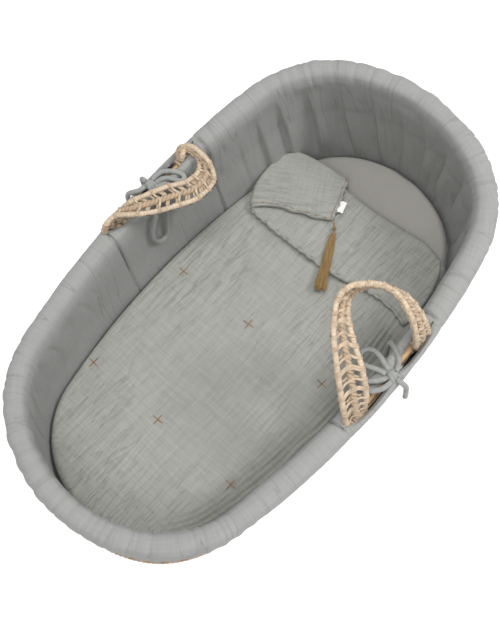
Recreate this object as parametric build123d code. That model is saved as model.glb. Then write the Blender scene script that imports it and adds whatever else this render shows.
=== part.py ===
from build123d import *

import os
from math import atan2, cos, hypot, pi, radians, sin, tan

os.makedirs("parts", exist_ok=True)

# Moses basket, millimetres. +X points to the head end, +Y to the sleeper's left, +Z up.
# Z = 0 is the surface that it stands on, and X = Y = 0 is the middle of its plan.

# The wall's outer face: an oval at the floor and a wider, slightly shorter one above.
FLOOR_HALF_LENGTH, FLOOR_HALF_WIDTH, FLOOR_SHOULDER = 415.0, 209.0, 172.0
TOP_HALF_LENGTH, TOP_HALF_WIDTH, TOP_SHOULDER = 405.0, 257.0, 180.0
TOP_PLANE = 300.0
SIDE_END_ANGLE, SHOULDER_END_ANGLE = radians(78), radians(25.2)

# The rim line: the top of the padded roll, low at the foot and high at the head.
RIM_REACH = 440.0
RIM_FOOT, RIM_MIDDLE, RIM_HEAD = 192.5, 217.0, 279.5

# Layers, as distances outside (+) or inside (-) the wall's outer face.
WALL_INNER = -5.0
BORDER_OUTER = 3.0
LINER_BACK, LINER_FRONT = -5.5, -13.5
WADDING_BACK, WADDING_FRONT = -7.5, -11.5
ROLL_OUTER, ROLL_INNER = 12.0, -26.0
SKIRT_BACK, SKIRT_FRONT = 2.6, 7.0
HOOP_OUTER, HOOP_INNER = 2.0, -8.0
BEDDING_EDGE = -17.5

# Heights above the floor, and drops below the rim line.
BASE_TOP, BORDER_TOP = 8.0, 10.0
LINER_BOTTOM = 9.0
ROLL_DROP, HOOP_TOP_DROP, HOOP_BOTTOM_DROP = 30.0, 10.0, 20.0
CHANNEL_GAP = 0.5
SKIRT_DROP, HEM_DROP = 85.0, 88.0

# Side panels, and the slit in each that bares the rim where the handle is looped on.
PANEL_FOOT_X, PANEL_HEAD_X = -68.0, 138.0
PANELS = (("foot", -RIM_REACH, PANEL_FOOT_X, 0), ("head", PANEL_HEAD_X, RIM_REACH, 0),
          ("left", PANEL_FOOT_X, PANEL_HEAD_X, 1), ("right", PANEL_FOOT_X, PANEL_HEAD_X, -1))
QUILT_INSET, TURNDOWN_INSET = 2.0, 2.4
SLIT_FOOT_X, SLIT_HEAD_X = -65.0, 135.0
SLIT_OUTER, SLIT_INNER = 7.0, -18.0
SLIT_LIP_DROP, SLIT_FLOOR_DROP = 12.0, 25.3

# Rim cane bared in the slits, and the handles looped round it.
CANE_RADIUS, CANE_INSET, CANE_DROP = 5.0, 3.0, 15.0
CANE_END_GAP = 0.3
SLEEVE_GAP, SLEEVE_WALL, SLEEVE_LENGTH = 0.3, 4.0, 42.0
SLEEVE_CENTRE = 76.0
ROPE_RADIUS, ROPE_SPACING = 4.0, 16.0
STRAND_RADIUS, STRANDS_PER_ROW = 1.6, 19
HANDLE_ROUTE = [(-92, 9.6), (-88, 42), (-70, 82), (-58, 122), (-42, 162), (-12, 189), (28, 180),
                (58, 148), (78, 106), (90, 60), (92, 9.6)]
LEAN_LEFT, LEAN_RIGHT = 52.0, 30.0

# Bedding, from the base up.
CORE_BOTTOM, CORE_TOP, SHEET_SKIN = 9.0, 43.0, 1.6
QUILT_BOTTOM, QUILT_TOP = 45.2, 60.0
TURNDOWN_BOTTOM, TURNDOWN_TOP = 60.4, 68.0
FLAP_BOTTOM, FLAP_TOP = 68.4, 76.0
FOLD_X, HEM_X = 296.0, 154.0
TURNDOWN_LEFT = [(154, 152), (199, 168), (242, 172), (279, 168), (296, 150)]
FLAP_OUTLINE = [(156, 150), (199, 168), (242, 172), (281, 168), (300, 152), (305, 108), (306, 60),
                (266, 40), (228, 27)]
CROSS_COLUMNS, CROSS_ROWS = (-213.0, 2.0), (-140.0, 18.0, 166.0)
CROSS_ARM, CROSS_WIDTH, CROSS_HEIGHT = 8.0, 1.3, 0.8
LABEL_CENTRE, LABEL_SIZE, LABEL_ANGLE = (261, 26), (19, 10, 0.8), 30.0

# Tassel at the flap's corner.
TASSEL_PIVOT = (227.0, 24.5)
TASSEL_HEADING = 208.0
TASSEL_CORD_RADIUS, TASSEL_CORD_LENGTH = 0.9, 9.0
TASSEL_EYE_RADIUS, TASSEL_EYE_HEIGHT, TASSEL_KNOT_RADIUS = 1.6, 2.4, 4.6
SKIRT_LENGTH, SKIRT_START_RADIUS, SKIRT_END_SIZE = 96.0, 3.6, (10.5, 4.2)
TASSEL_HEIGHT = 73.3

# Ties of soft fabric cord, bowed over each slit.
TIE_RADIUS = 4.0
KNOT_X, KNOT_SIZE, KNOT_CHAMFER = 35.0, (18.0, 18.0, 11.0), 0.6
KNOT_LEFT, KNOT_RIGHT = (35.0, 240.0, 219.0), (35.0, -241.0, 219.0)
TIE_ROUTES = {
    "tie_left_loop_low": [(30.6, 231, 219), (29.5, 221, 218), (21, 209, 213), (9, 205, 199),
                          (-2, 206, 180), (-8, 207, 158), (-9, 207, 137), (-2, 207, 120),
                          (10, 207, 114), (20, 207, 122), (24, 207, 141), (26, 206, 162),
                          (31, 205, 182), (35, 206, 201), (38, 212, 214), (39.2, 221.5, 218.5),
                          (39.4, 231, 219)],
    "tie_left_loop_high": [(44, 235.6, 219), (53, 234, 221), (60, 226, 223), (65, 215, 223.5),
                           (70, 204, 222), (79.5, 206, 222), (80, 217, 223), (73, 229, 224),
                           (64, 240, 223), (53, 244.4, 220.5), (44, 244.4, 219)],
    "tie_left_tail_foot": [(26, 244.4, 219), (17, 245, 219.5), (9, 252, 218), (4, 261, 210),
                           (2, 264, 197), (2, 263, 181), (1, 262, 164), (-1, 261, 147)],
    "tie_left_tail_head": [(35, 249, 219), (35.5, 258, 217.5), (37, 264, 208), (38, 264, 193),
                           (37, 263, 176), (39, 262, 158), (41, 262, 141), (41, 261, 125)],
    "tie_right_loop_high": [(30.6, -232, 219), (29, -222, 221), (24, -211, 222), (20, -200, 220.5),
                            (24, -190, 218), (34, -185, 217), (44, -189, 218), (48, -200, 220.5),
                            (46, -211, 222), (41, -222, 221), (39.4, -232, 219)],
    "tie_right_loop_low": [(26, -236.6, 219), (17, -233, 221), (9, -225, 222.5), (1, -217, 221),
                           (-6, -216, 220), (-8, -225, 221.5), (-3, -234, 222.5), (6, -241, 222),
                           (16, -245, 220.5), (26, -245.4, 219)],
    "tie_right_tail_out": [(35, -250, 219), (36, -259, 217.5), (38, -265, 208), (40, -265, 193),
                           (43, -264, 175), (47, -263, 157), (50, -262, 140), (52, -261, 122)],
    "tie_right_tail_in": [(44, -241, 219), (53, -239, 220), (62, -231, 221.5), (70, -217, 220.5),
                          (75.5, -206.5, 211.5), (76, -203, 196), (74, -203.5, 178), (72, -204.5, 161)],
}


def oval_points(height, offset):
    """Junction and middle points of the eight arcs of the plan oval at a height, grown by offset."""
    share = height / TOP_PLANE
    half_length = FLOOR_HALF_LENGTH + (TOP_HALF_LENGTH - FLOOR_HALF_LENGTH) * share
    half_width = FLOOR_HALF_WIDTH + (TOP_HALF_WIDTH - FLOOR_HALF_WIDTH) * share
    shoulder = FLOOR_SHOULDER + (TOP_SHOULDER - FLOOR_SHOULDER) * share
    side, end = SIDE_END_ANGLE, SHOULDER_END_ANGLE
    # The side and nose radii that make all arcs tangent and reach the two half sizes.
    a, b = -(1 - sin(side)), -sin(end)
    c, d = cos(side), 1 - cos(end)
    e = -half_width + shoulder * (sin(side) - sin(end))
    f = half_length + shoulder * (cos(side) - cos(end))
    side_radius = (e * d - b * f) / (a * d - b * c)
    nose_radius = (a * f - e * c) / (a * d - b * c)
    side_centre = half_width - side_radius
    shoulder_x = (side_radius - shoulder) * cos(side)
    shoulder_y = side_centre + (side_radius - shoulder) * sin(side)
    nose_x = shoulder_x + (shoulder - nose_radius) * cos(end)

    def at(x, y, radius, angle):
        return (x + (radius + offset) * cos(angle), y + (radius + offset) * sin(angle))

    quarter = [
        at(nose_x, 0, nose_radius, 0),
        at(nose_x, 0, nose_radius, end),
        at(shoulder_x, shoulder_y, shoulder, (end + side) / 2),
        at(shoulder_x, shoulder_y, shoulder, side),
        at(0, side_centre, side_radius, radians(90)),
    ]
    upper = quarter + [(-x, y) for x, y in quarter[-2::-1]]
    return upper + [(x, -y) for x, y in upper[-2:0:-1]]


def oval_face(height, offset):
    """The plan oval as a face: nose, shoulder, side, shoulder, nose and back."""
    points = [(x, y, height) for x, y in oval_points(height, offset)]
    points = points[1:] + points[:1]
    ring = points + points[:1]
    arcs = [ThreePointArc(ring[i], ring[i + 1], ring[i + 2]) for i in range(0, len(points), 2)]
    return make_face(arcs)


LOFTS = {}


def hull_to(offset):
    """Everything inside the wall's outer face grown by offset, from the floor up."""
    if offset not in LOFTS:
        LOFTS[offset] = loft([oval_face(0, offset), oval_face(TOP_PLANE, offset)], ruled=True)
    return LOFTS[offset]


def rim_height(x):
    """Height of the rim line, the circle through its foot, middle and head."""
    rise_head, rise_foot = RIM_HEAD - RIM_MIDDLE, RIM_FOOT - RIM_MIDDLE
    # The circle's centre is as far from the middle point as from the two ends.
    head_square, foot_square = RIM_REACH**2 + rise_head**2, RIM_REACH**2 + rise_foot**2
    centre_z = (head_square + foot_square) / (2 * (rise_head + rise_foot))
    centre_x = (head_square / 2 - centre_z * rise_head) / RIM_REACH
    radius = hypot(centre_x, centre_z)
    return RIM_MIDDLE + centre_z - (radius**2 - (x - centre_x) ** 2) ** 0.5


def slab(low, high, x_low=-RIM_REACH, x_high=RIM_REACH):
    """A slice right across the basket. A bound is a height, or ("drop", d) below the rim line."""

    def edge_line(bound):
        if isinstance(bound, tuple):
            middle = (x_low + x_high) / 2
            return [(x, 0, rim_height(x) - bound[1]) for x in (x_low, middle, x_high)]
        return [(x_low, 0, bound), (x_high, 0, bound)]

    def line(points):
        return ThreePointArc(*points) if len(points) == 3 else Line(*points)

    under, over = edge_line(low), edge_line(high)
    edges = [line(under), Line(under[-1], over[-1]), line(over), Line(over[0], under[0])]
    return extrude(make_face(edges), amount=RIM_REACH, dir=(0, 1, 0), both=True)


def shell(outer, inner, low, high, x_low=-RIM_REACH, x_high=RIM_REACH):
    """A stretch of wall between two offsets and two heights."""
    return (slab(low, high, x_low, x_high) & hull_to(outer)) - hull_to(inner)


def half_space(side):
    """Everything on one side of the middle plane: +1 is the left."""
    return Pos(0, side * RIM_REACH, TOP_PLANE / 2) * Box(4 * RIM_REACH, 2 * RIM_REACH, 2 * TOP_PLANE)


def drop(distance):
    return ("drop", distance)


def cane_ends(side):
    """The two ends of the straight stretch of cane in a slit."""
    ends = []
    for x in (SLIT_FOOT_X, SLIT_HEAD_X):
        height = rim_height(x) - CANE_DROP
        points = oval_points(height, -CANE_INSET)
        centre, edge = points[4], points[3]
        radius = ((centre[1] - edge[1]) ** 2 + edge[0] ** 2) / (2 * (centre[1] - edge[1]))
        y = centre[1] - radius + (radius**2 - x**2) ** 0.5
        ends.append(Vector(x, side * y, height))
    return ends


def handle_plane(side, lean):
    """The plane of a leaning handle: x along the cane, y up the handle."""
    foot_end, head_end = cane_ends(side)
    along = (head_end - foot_end).normalized()
    inward = Vector(0, -side, 0)
    inward = (inward - along * inward.dot(along)).normalized()
    upward = along.cross(inward) * (-1 if along.cross(inward).Z < 0 else 1)
    rise = upward * cos(radians(lean)) + inward * sin(radians(lean))
    return Plane(origin=(foot_end + head_end) * 0.5, x_dir=along, z_dir=along.cross(rise))


def inset_route(route, distance):
    """A flat route moved inwards, towards the middle of the handle's arch."""
    moved = []
    for i, (x, y) in enumerate(route):
        before, after = route[max(i - 1, 0)], route[min(i + 1, len(route) - 1)]
        heading_in = atan2(y - before[1], x - before[0]) if i else None
        heading_out = atan2(after[1] - y, after[0] - x) if i < len(route) - 1 else heading_in
        heading_in = heading_out if heading_in is None else heading_in
        middle = (heading_in + heading_out) / 2
        reach = distance / cos((heading_out - heading_in) / 2)
        moved.append((x + reach * sin(middle), y - reach * cos(middle)))
    moved[0] = (moved[0][0], route[0][1])
    moved[-1] = (moved[-1][0], route[-1][1])
    return moved


def smooth_path(points, name):
    """Straight runs joined by the largest tangent arcs that they have room for."""
    points = [Vector(*p) for p in points]
    radii = []
    for before, here, after in zip(points, points[1:], points[2:]):
        turn = radians((here - before).get_angle(after - here))
        shorter = min((here - before).length, (after - here).length)
        radii.append(0.45 * shorter / tan(turn / 2))
    print(name, "radii", [round(r, 1) for r in radii])
    return FilletPolyline(*points, radius=radii)


def tube(points, radius, name):
    """A round cord along a route, with a check of its volume."""
    path = smooth_path(points, name)
    section = Plane(origin=path @ 0, z_dir=path % 0) * Circle(radius)
    cord = sweep(section, path=path)
    expected = pi * radius**2 * path.length
    print(name, "length", round(path.length, 1), "volume ratio", round(cord.volume / expected, 4))
    return cord, path


def handle(name, side, lean):
    """One plaited handle: two sleeves on the cane, three ropes and the strands between them."""
    place = handle_plane(side, lean).location
    pieces = {}
    bore, outer = CANE_RADIUS + SLEEVE_GAP, CANE_RADIUS + SLEEVE_GAP + SLEEVE_WALL
    for end, sign in (("foot", -1), ("head", 1)):
        ring = Cylinder(outer, SLEEVE_LENGTH) - Cylinder(bore, SLEEVE_LENGTH)
        pieces[f"{name}_{end}_sleeve"] = place * Pos(sign * SLEEVE_CENTRE, 0) * Rot(0, 90, 0) * ring
    paths = []
    for i, rope in enumerate(("outer", "centre", "inner")):
        route = inset_route(HANDLE_ROUTE, i * ROPE_SPACING)
        solid, path = tube([(x, y, 0) for x, y in route], ROPE_RADIUS, f"{name}_{rope}_rope")
        pieces[f"{name}_{rope}_rope"] = place * solid
        paths.append(path)
    strands = []
    for first, second in zip(paths, paths[1:]):
        for i in range(STRANDS_PER_ROW):
            share = (i + 0.5) / STRANDS_PER_ROW
            start, end = first @ share, second @ (share + 0.35 / STRANDS_PER_ROW)
            strand = Plane(origin=start, z_dir=end - start) * Circle(STRAND_RADIUS)
            strands.append(place * extrude(strand, amount=(end - start).length))
    pieces[f"{name}_cross_strands"] = Compound(children=strands)
    return pieces


def basket():
    """The woven base, border, wall and rim."""
    base = slab(0, BASE_TOP) & hull_to(WALL_INNER - 0.2)
    border = shell(BORDER_OUTER, WALL_INNER, 0, BORDER_TOP)
    wall = shell(0, WALL_INNER, BORDER_TOP, drop(HOOP_BOTTOM_DROP))
    hoop = shell(HOOP_OUTER, HOOP_INNER, drop(HOOP_BOTTOM_DROP), drop(HOOP_TOP_DROP))
    slit_box = Box(SLIT_HEAD_X - SLIT_FOOT_X, 4 * RIM_REACH, TOP_PLANE)
    hoop -= Pos((SLIT_HEAD_X + SLIT_FOOT_X) / 2, 0, TOP_PLANE / 2) * slit_box
    pieces = {"base_mat": base, "base_border": border, "rim_hoop": hoop}
    notch_depth = SLEEVE_WALL + CANE_RADIUS + SLEEVE_GAP + CANE_DROP - HOOP_BOTTOM_DROP + 2
    for name, side in (("left", 1), ("right", -1)):
        foot_end, head_end = cane_ends(side)
        along = (head_end - foot_end).normalized()
        start = foot_end + along * CANE_END_GAP
        length = (head_end - foot_end).length - 2 * CANE_END_GAP
        pieces[f"rim_cane_{name}"] = extrude(Plane(origin=start, z_dir=along) * Circle(CANE_RADIUS),
                                             amount=length)
        middle = (foot_end + head_end) * 0.5
        for sign in (-1, 1):
            spot = middle + along * (sign * SLEEVE_CENTRE)
            low = rim_height(spot.X) - HOOP_BOTTOM_DROP - notch_depth
            wall -= Pos(spot.X, spot.Y, low + TOP_PLANE / 2) * Box(SLEEVE_LENGTH + 8, 60, TOP_PLANE)
    # Between the notches the wall stops under the cane.
    span = Pos(KNOT_X, 0, 0) * Box(2 * SLEEVE_CENTRE, 4 * RIM_REACH, 4 * TOP_PLANE)
    wall -= span & shell(ROLL_OUTER, ROLL_INNER, drop(HOOP_BOTTOM_DROP + 3), drop(0),
                         SLIT_FOOT_X, SLIT_HEAD_X)
    for name, x_low, x_high, side in PANELS:
        stretch = slab(0, TOP_PLANE, x_low, x_high) & wall
        pieces[f"wall_{name}"] = stretch & half_space(side) if side else stretch
    return pieces


def liner():
    """Four padded panels that hang over the rim, their wadding, and the hem."""
    pieces = {}
    for name, x_low, x_high, side in PANELS:
        span = (x_low, x_high)
        inner = shell(LINER_BACK, LINER_FRONT, LINER_BOTTOM, drop(ROLL_DROP), *span)
        roll = shell(ROLL_OUTER, ROLL_INNER, drop(ROLL_DROP), drop(0), *span)
        roll -= shell(SKIRT_BACK, HOOP_INNER - CHANNEL_GAP, drop(ROLL_DROP + 1),
                      drop(HOOP_TOP_DROP - CHANNEL_GAP), *span)
        skirt = shell(SKIRT_FRONT, SKIRT_BACK, drop(SKIRT_DROP), drop(ROLL_DROP), *span)
        if side:
            roll -= shell(SLIT_OUTER, SLIT_INNER, drop(SLIT_FLOOR_DROP), drop(-1),
                          SLIT_FOOT_X, SLIT_HEAD_X)
            roll -= shell(ROLL_OUTER + 1, ROLL_INNER - 1, drop(SLIT_LIP_DROP), drop(-1),
                          SLIT_FOOT_X, SLIT_HEAD_X)
        wadding = shell(WADDING_BACK, WADDING_FRONT, LINER_BOTTOM, drop(ROLL_DROP + 2), *span)
        panel = (inner + roll + skirt) - wadding
        if side:
            panel = panel & half_space(side)
            wadding = wadding & half_space(side)
        pieces[f"liner_{name}"] = panel
        pieces[f"wadding_{name}"] = wadding
    pieces["liner_hem"] = shell(SKIRT_FRONT, SKIRT_BACK, drop(HEM_DROP), drop(SKIRT_DROP))
    return pieces


def bedding_slab(low, high, inset=0.0):
    """A slab of the bedding's oval, measured at the floor."""
    return extrude(Pos(0, 0, low) * oval_face(0, BEDDING_EDGE - inset), amount=high - low)


def mattress():
    """Foam core in a fitted sheet that is open underneath."""
    core = bedding_slab(CORE_BOTTOM, CORE_TOP, SHEET_SKIN)
    sheet = bedding_slab(CORE_BOTTOM, CORE_TOP + SHEET_SKIN) - core
    return {"mattress_core": core, "mattress_sheet": sheet}


def plan_piece(points, low, high):
    """A flat piece with a drawn outline."""
    return extrude(Pos(0, 0, low) * make_face(Polyline(*points, close=True)), amount=high - low)


def quilt():
    """The quilt, its turned-down head band, the folded corner, cross stitches and a blank tab."""
    panel = bedding_slab(QUILT_BOTTOM, QUILT_TOP, QUILT_INSET)
    panel -= Pos(FOLD_X + RIM_REACH, 0, 0) * Box(2 * RIM_REACH, 2 * RIM_REACH, 4 * QUILT_TOP)
    band = plan_piece([(HEM_X, -RIM_REACH), (FOLD_X, -RIM_REACH)] + TURNDOWN_LEFT[::-1],
                      TURNDOWN_BOTTOM, TURNDOWN_TOP)
    band = band & bedding_slab(QUILT_BOTTOM, FLAP_TOP, TURNDOWN_INSET)
    crosses = []
    for x in CROSS_COLUMNS:
        for y in CROSS_ROWS:
            bar = Box(2 * CROSS_ARM, CROSS_WIDTH, CROSS_HEIGHT)
            cross = bar + Rot(0, 0, 90) * bar
            crosses.append(Pos(x, y, QUILT_TOP + CROSS_HEIGHT / 2) * cross)
    label = Pos(*LABEL_CENTRE, FLAP_BOTTOM + LABEL_SIZE[2]) * Rot(0, 0, LABEL_ANGLE) * Box(*LABEL_SIZE)
    return {"quilt_panel": panel, "quilt_turndown": band,
            "quilt_corner_flap": plan_piece(FLAP_OUTLINE, FLAP_BOTTOM, FLAP_TOP),
            "quilt_cross_stitches": Compound(children=crosses), "quilt_label": label}


def tassel():
    """Cord, knot and skirt of threads, lying on the quilt."""
    place = Pos(*TASSEL_PIVOT, TASSEL_HEIGHT) * Rot(0, 0, TASSEL_HEADING) * Rot(0, 90, 0)
    cord = place * Pos(0, 0, TASSEL_CORD_LENGTH / 2) * Cylinder(TASSEL_CORD_RADIUS, TASSEL_CORD_LENGTH)
    # The loop of thread at the corner of the quilt is round about the tassel's upright axis.
    cord += Pos(*TASSEL_PIVOT, TASSEL_HEIGHT) * Cylinder(TASSEL_EYE_RADIUS, TASSEL_EYE_HEIGHT)
    knot_at = TASSEL_CORD_LENGTH + TASSEL_KNOT_RADIUS - 0.2
    knot = place * Pos(0, 0, knot_at) * Sphere(TASSEL_KNOT_RADIUS)
    skirt_at = knot_at + TASSEL_KNOT_RADIUS - 1
    near = Pos(0, 0, skirt_at) * Circle(SKIRT_START_RADIUS)
    far = Pos(0, 0, skirt_at + SKIRT_LENGTH) * Ellipse(SKIRT_END_SIZE[1], SKIRT_END_SIZE[0])
    skirt = place * loft([near, far]) - knot
    return {"tassel_cord": cord - knot, "tassel_knot": knot, "tassel_skirt": skirt}


def ties():
    """A bow over each slit: a knot, two loops and two tails."""
    pieces = {}
    for name, centre in (("left", KNOT_LEFT), ("right", KNOT_RIGHT)):
        block = Box(*KNOT_SIZE)
        pieces[f"tie_{name}_knot"] = Pos(*centre) * chamfer(block.edges(), KNOT_CHAMFER)
    for name, route in TIE_ROUTES.items():
        pieces[name], _ = tube(route, TIE_RADIUS, name)
    return pieces


nodes = {**basket(), **liner(), **ties(), **handle("handle_left", 1, LEAN_LEFT),
         **handle("handle_right", -1, LEAN_RIGHT), **mattress(), **quilt(), **tassel()}
for node, shape in nodes.items():
    export_step(shape, f"parts/{node}.step")
for side in (1, -1):
    foot_end, head_end = cane_ends(side)
    print("cane", [round(v, 3) for v in foot_end], [round(v, 3) for v in head_end])
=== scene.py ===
import math

import bpy
import numpy as np
from mathutils import Matrix, Vector


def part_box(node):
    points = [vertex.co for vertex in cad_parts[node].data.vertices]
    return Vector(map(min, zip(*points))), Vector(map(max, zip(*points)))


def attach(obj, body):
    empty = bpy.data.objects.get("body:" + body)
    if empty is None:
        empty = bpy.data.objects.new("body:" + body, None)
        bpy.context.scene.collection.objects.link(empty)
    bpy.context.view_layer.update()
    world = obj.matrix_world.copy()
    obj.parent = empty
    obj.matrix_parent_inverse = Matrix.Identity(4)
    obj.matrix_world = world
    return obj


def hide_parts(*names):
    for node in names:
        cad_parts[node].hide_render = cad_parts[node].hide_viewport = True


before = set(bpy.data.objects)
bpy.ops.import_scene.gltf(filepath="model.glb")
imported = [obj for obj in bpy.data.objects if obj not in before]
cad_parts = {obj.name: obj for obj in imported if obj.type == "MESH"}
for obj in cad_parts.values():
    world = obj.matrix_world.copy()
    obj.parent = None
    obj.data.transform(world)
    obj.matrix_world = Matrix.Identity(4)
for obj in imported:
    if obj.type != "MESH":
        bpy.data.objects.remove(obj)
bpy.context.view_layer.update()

# ---------------------------------------------------------------- the basket's plan and rim
# Metres throughout. +X is the head end, +Y the sleeper's left, +Z up.
MAT_EDGE = 0.0052
FLOOR_HALF_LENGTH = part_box("base_mat")[1].x + MAT_EDGE
FLOOR_HALF_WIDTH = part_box("base_mat")[1].y + MAT_EDGE
TOP_HALF_LENGTH, TOP_HALF_WIDTH, TOP_PLANE = 0.405, 0.257, 0.300
FLOOR_SHOULDER, TOP_SHOULDER = 0.172, 0.180
SIDE_END, SHOULDER_END = math.radians(78), math.radians(25.2)
RIM_REACH, RIM_FOOT, RIM_MIDDLE, RIM_HEAD = 0.440, 0.1925, 0.217, 0.2795
SEAM_FOOT_X, SEAM_HEAD_X = -0.068, 0.138
SLIT_FOOT_X, SLIT_HEAD_X, TIE_X = -0.064, 0.134, 0.035
CANE_DROP, CANE_INSET = 0.015, 0.003


def arcs_at(height):
    """Centres and radii of the side, shoulder and nose arcs of the wall's face at a height."""
    share = height / TOP_PLANE
    a = FLOOR_HALF_LENGTH + (TOP_HALF_LENGTH - FLOOR_HALF_LENGTH) * share
    b = FLOOR_HALF_WIDTH + (TOP_HALF_WIDTH - FLOOR_HALF_WIDTH) * share
    r = FLOOR_SHOULDER + (TOP_SHOULDER - FLOOR_SHOULDER) * share
    m00, m01 = -(1 - math.sin(SIDE_END)), -math.sin(SHOULDER_END)
    m10, m11 = math.cos(SIDE_END), 1 - math.cos(SHOULDER_END)
    v0 = -b + r * (math.sin(SIDE_END) - math.sin(SHOULDER_END))
    v1 = a + r * (math.cos(SIDE_END) - math.cos(SHOULDER_END))
    det = m00 * m11 - m01 * m10
    side = (v0 * m11 - m01 * v1) / det
    nose = (m00 * v1 - v0 * m10) / det
    side_y = b - side
    sx = (side - r) * math.cos(SIDE_END)
    sy = side_y + (side - r) * math.sin(SIDE_END)
    nx = sx + (r - nose) * math.cos(SHOULDER_END)
    return side, side_y, r, sx, sy, nose, nx


def oval_point(angle, height, offset):
    """Plan position where the wall's normal points along angle, pushed out by offset."""
    side, side_y, r, sx, sy, nose, nx = arcs_at(height)
    c, s = np.cos(angle), np.sin(angle)
    lean = np.arctan2(np.abs(s), np.abs(c))
    on_side, on_nose = lean > SIDE_END, lean < SHOULDER_END
    cx = np.where(on_side, 0, np.where(on_nose, nx, sx)) * np.sign(c)
    cy = np.where(on_side, side_y, np.where(on_nose, 0, sy)) * np.sign(s)
    radius = np.where(on_side, side, np.where(on_nose, nose, r)) + offset
    return cx + radius * c, cy + radius * s


def rim_height(x):
    """Height of the rim line, the circle through its foot, middle and head."""
    up_head, up_foot = RIM_HEAD - RIM_MIDDLE, RIM_FOOT - RIM_MIDDLE
    head_sq, foot_sq = RIM_REACH**2 + up_head**2, RIM_REACH**2 + up_foot**2
    cz = (head_sq + foot_sq) / (2 * (up_head + up_foot))
    cx = (head_sq / 2 - cz * up_head) / RIM_REACH
    return RIM_MIDDLE + cz - np.sqrt(cx**2 + cz**2 - (x - cx) ** 2)


class Round:
    """Angles round the oval, evenly spaced by the length of the rim."""

    REFERENCE = 0.20

    def __init__(self):
        angle = np.linspace(-math.pi, math.pi, 40001)
        x, y = oval_point(angle, self.REFERENCE, 0)
        step = np.hypot(np.diff(x), np.diff(y))
        self.length = np.concatenate([[0], np.cumsum(step)])
        self.angle, self.x, self.y = angle, x, y
        self.total = self.length[-1]

    def angles(self, lengths):
        return np.interp(np.mod(lengths, self.total), self.length, self.angle)

    def where_x(self, x, side):
        """Length along the rim at which it passes x, on the left (+1) or right (-1)."""
        pick = (np.sign(self.y) == side) if side else np.ones(len(self.y), bool)
        order = np.argsort(self.x[pick])
        return float(np.interp(x, self.x[pick][order], self.length[pick][order]))


RIM = Round()


# ---------------------------------------------------------------- numbers that look like cloth
def hashed(a, b, seed):
    """A repeatable number from 0 to 1 for each pair of cell numbers."""
    x = np.sin(a * 127.1 + b * 311.7 + seed * 74.7) * 43758.5453
    return x - np.floor(x)


def noise(u, v, seed):
    """Smooth noise from -1 to 1, one cell to a unit of u and v."""
    iu, iv = np.floor(u), np.floor(v)
    fu, fv = u - iu, v - iv
    fu, fv = fu * fu * (3 - 2 * fu), fv * fv * (3 - 2 * fv)

    low = hashed(iu, iv, seed) * (1 - fu) + hashed(iu + 1, iv, seed) * fu
    high = hashed(iu, iv + 1, seed) * (1 - fu) + hashed(iu + 1, iv + 1, seed) * fu
    return 2 * (low * (1 - fv) + high * fv) - 1


def ridges(u, v, seed):
    """Sharp-crested creases from 0 to 1."""
    return (1 - np.abs(noise(u, v, seed))) ** 3


def bump(x, centre, width):
    """A smooth hump at centre."""
    return np.exp(-(((x - centre) / width) ** 2))


def smooth_step(x, low, high):
    """Rises smoothly from 0 at low to 1 at high."""
    t = np.clip((x - low) / (high - low), 0, 1)
    return t * t * (3 - 2 * t)


def through(points, per_span):
    """Catmull-Rom curve through K points, each of any shape, per_span steps a span."""
    points = np.asarray(points, float)
    padded = np.concatenate([[2 * points[0] - points[1]], points, [2 * points[-1] - points[-2]]])
    rows = []
    for i in range(len(points) - 1):
        p0, p1, p2, p3 = padded[i:i + 4]
        last = i == len(points) - 2
        for t in np.linspace(0, 1, per_span + 1)[: per_span + (1 if last else 0)]:
            rows.append(0.5 * (2 * p1 + (p2 - p0) * t + (2 * p0 - 5 * p1 + 4 * p2 - p3) * t * t
                               + (3 * p1 - p0 - 3 * p2 + p3) * t**3))
    return np.array(rows)


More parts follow.
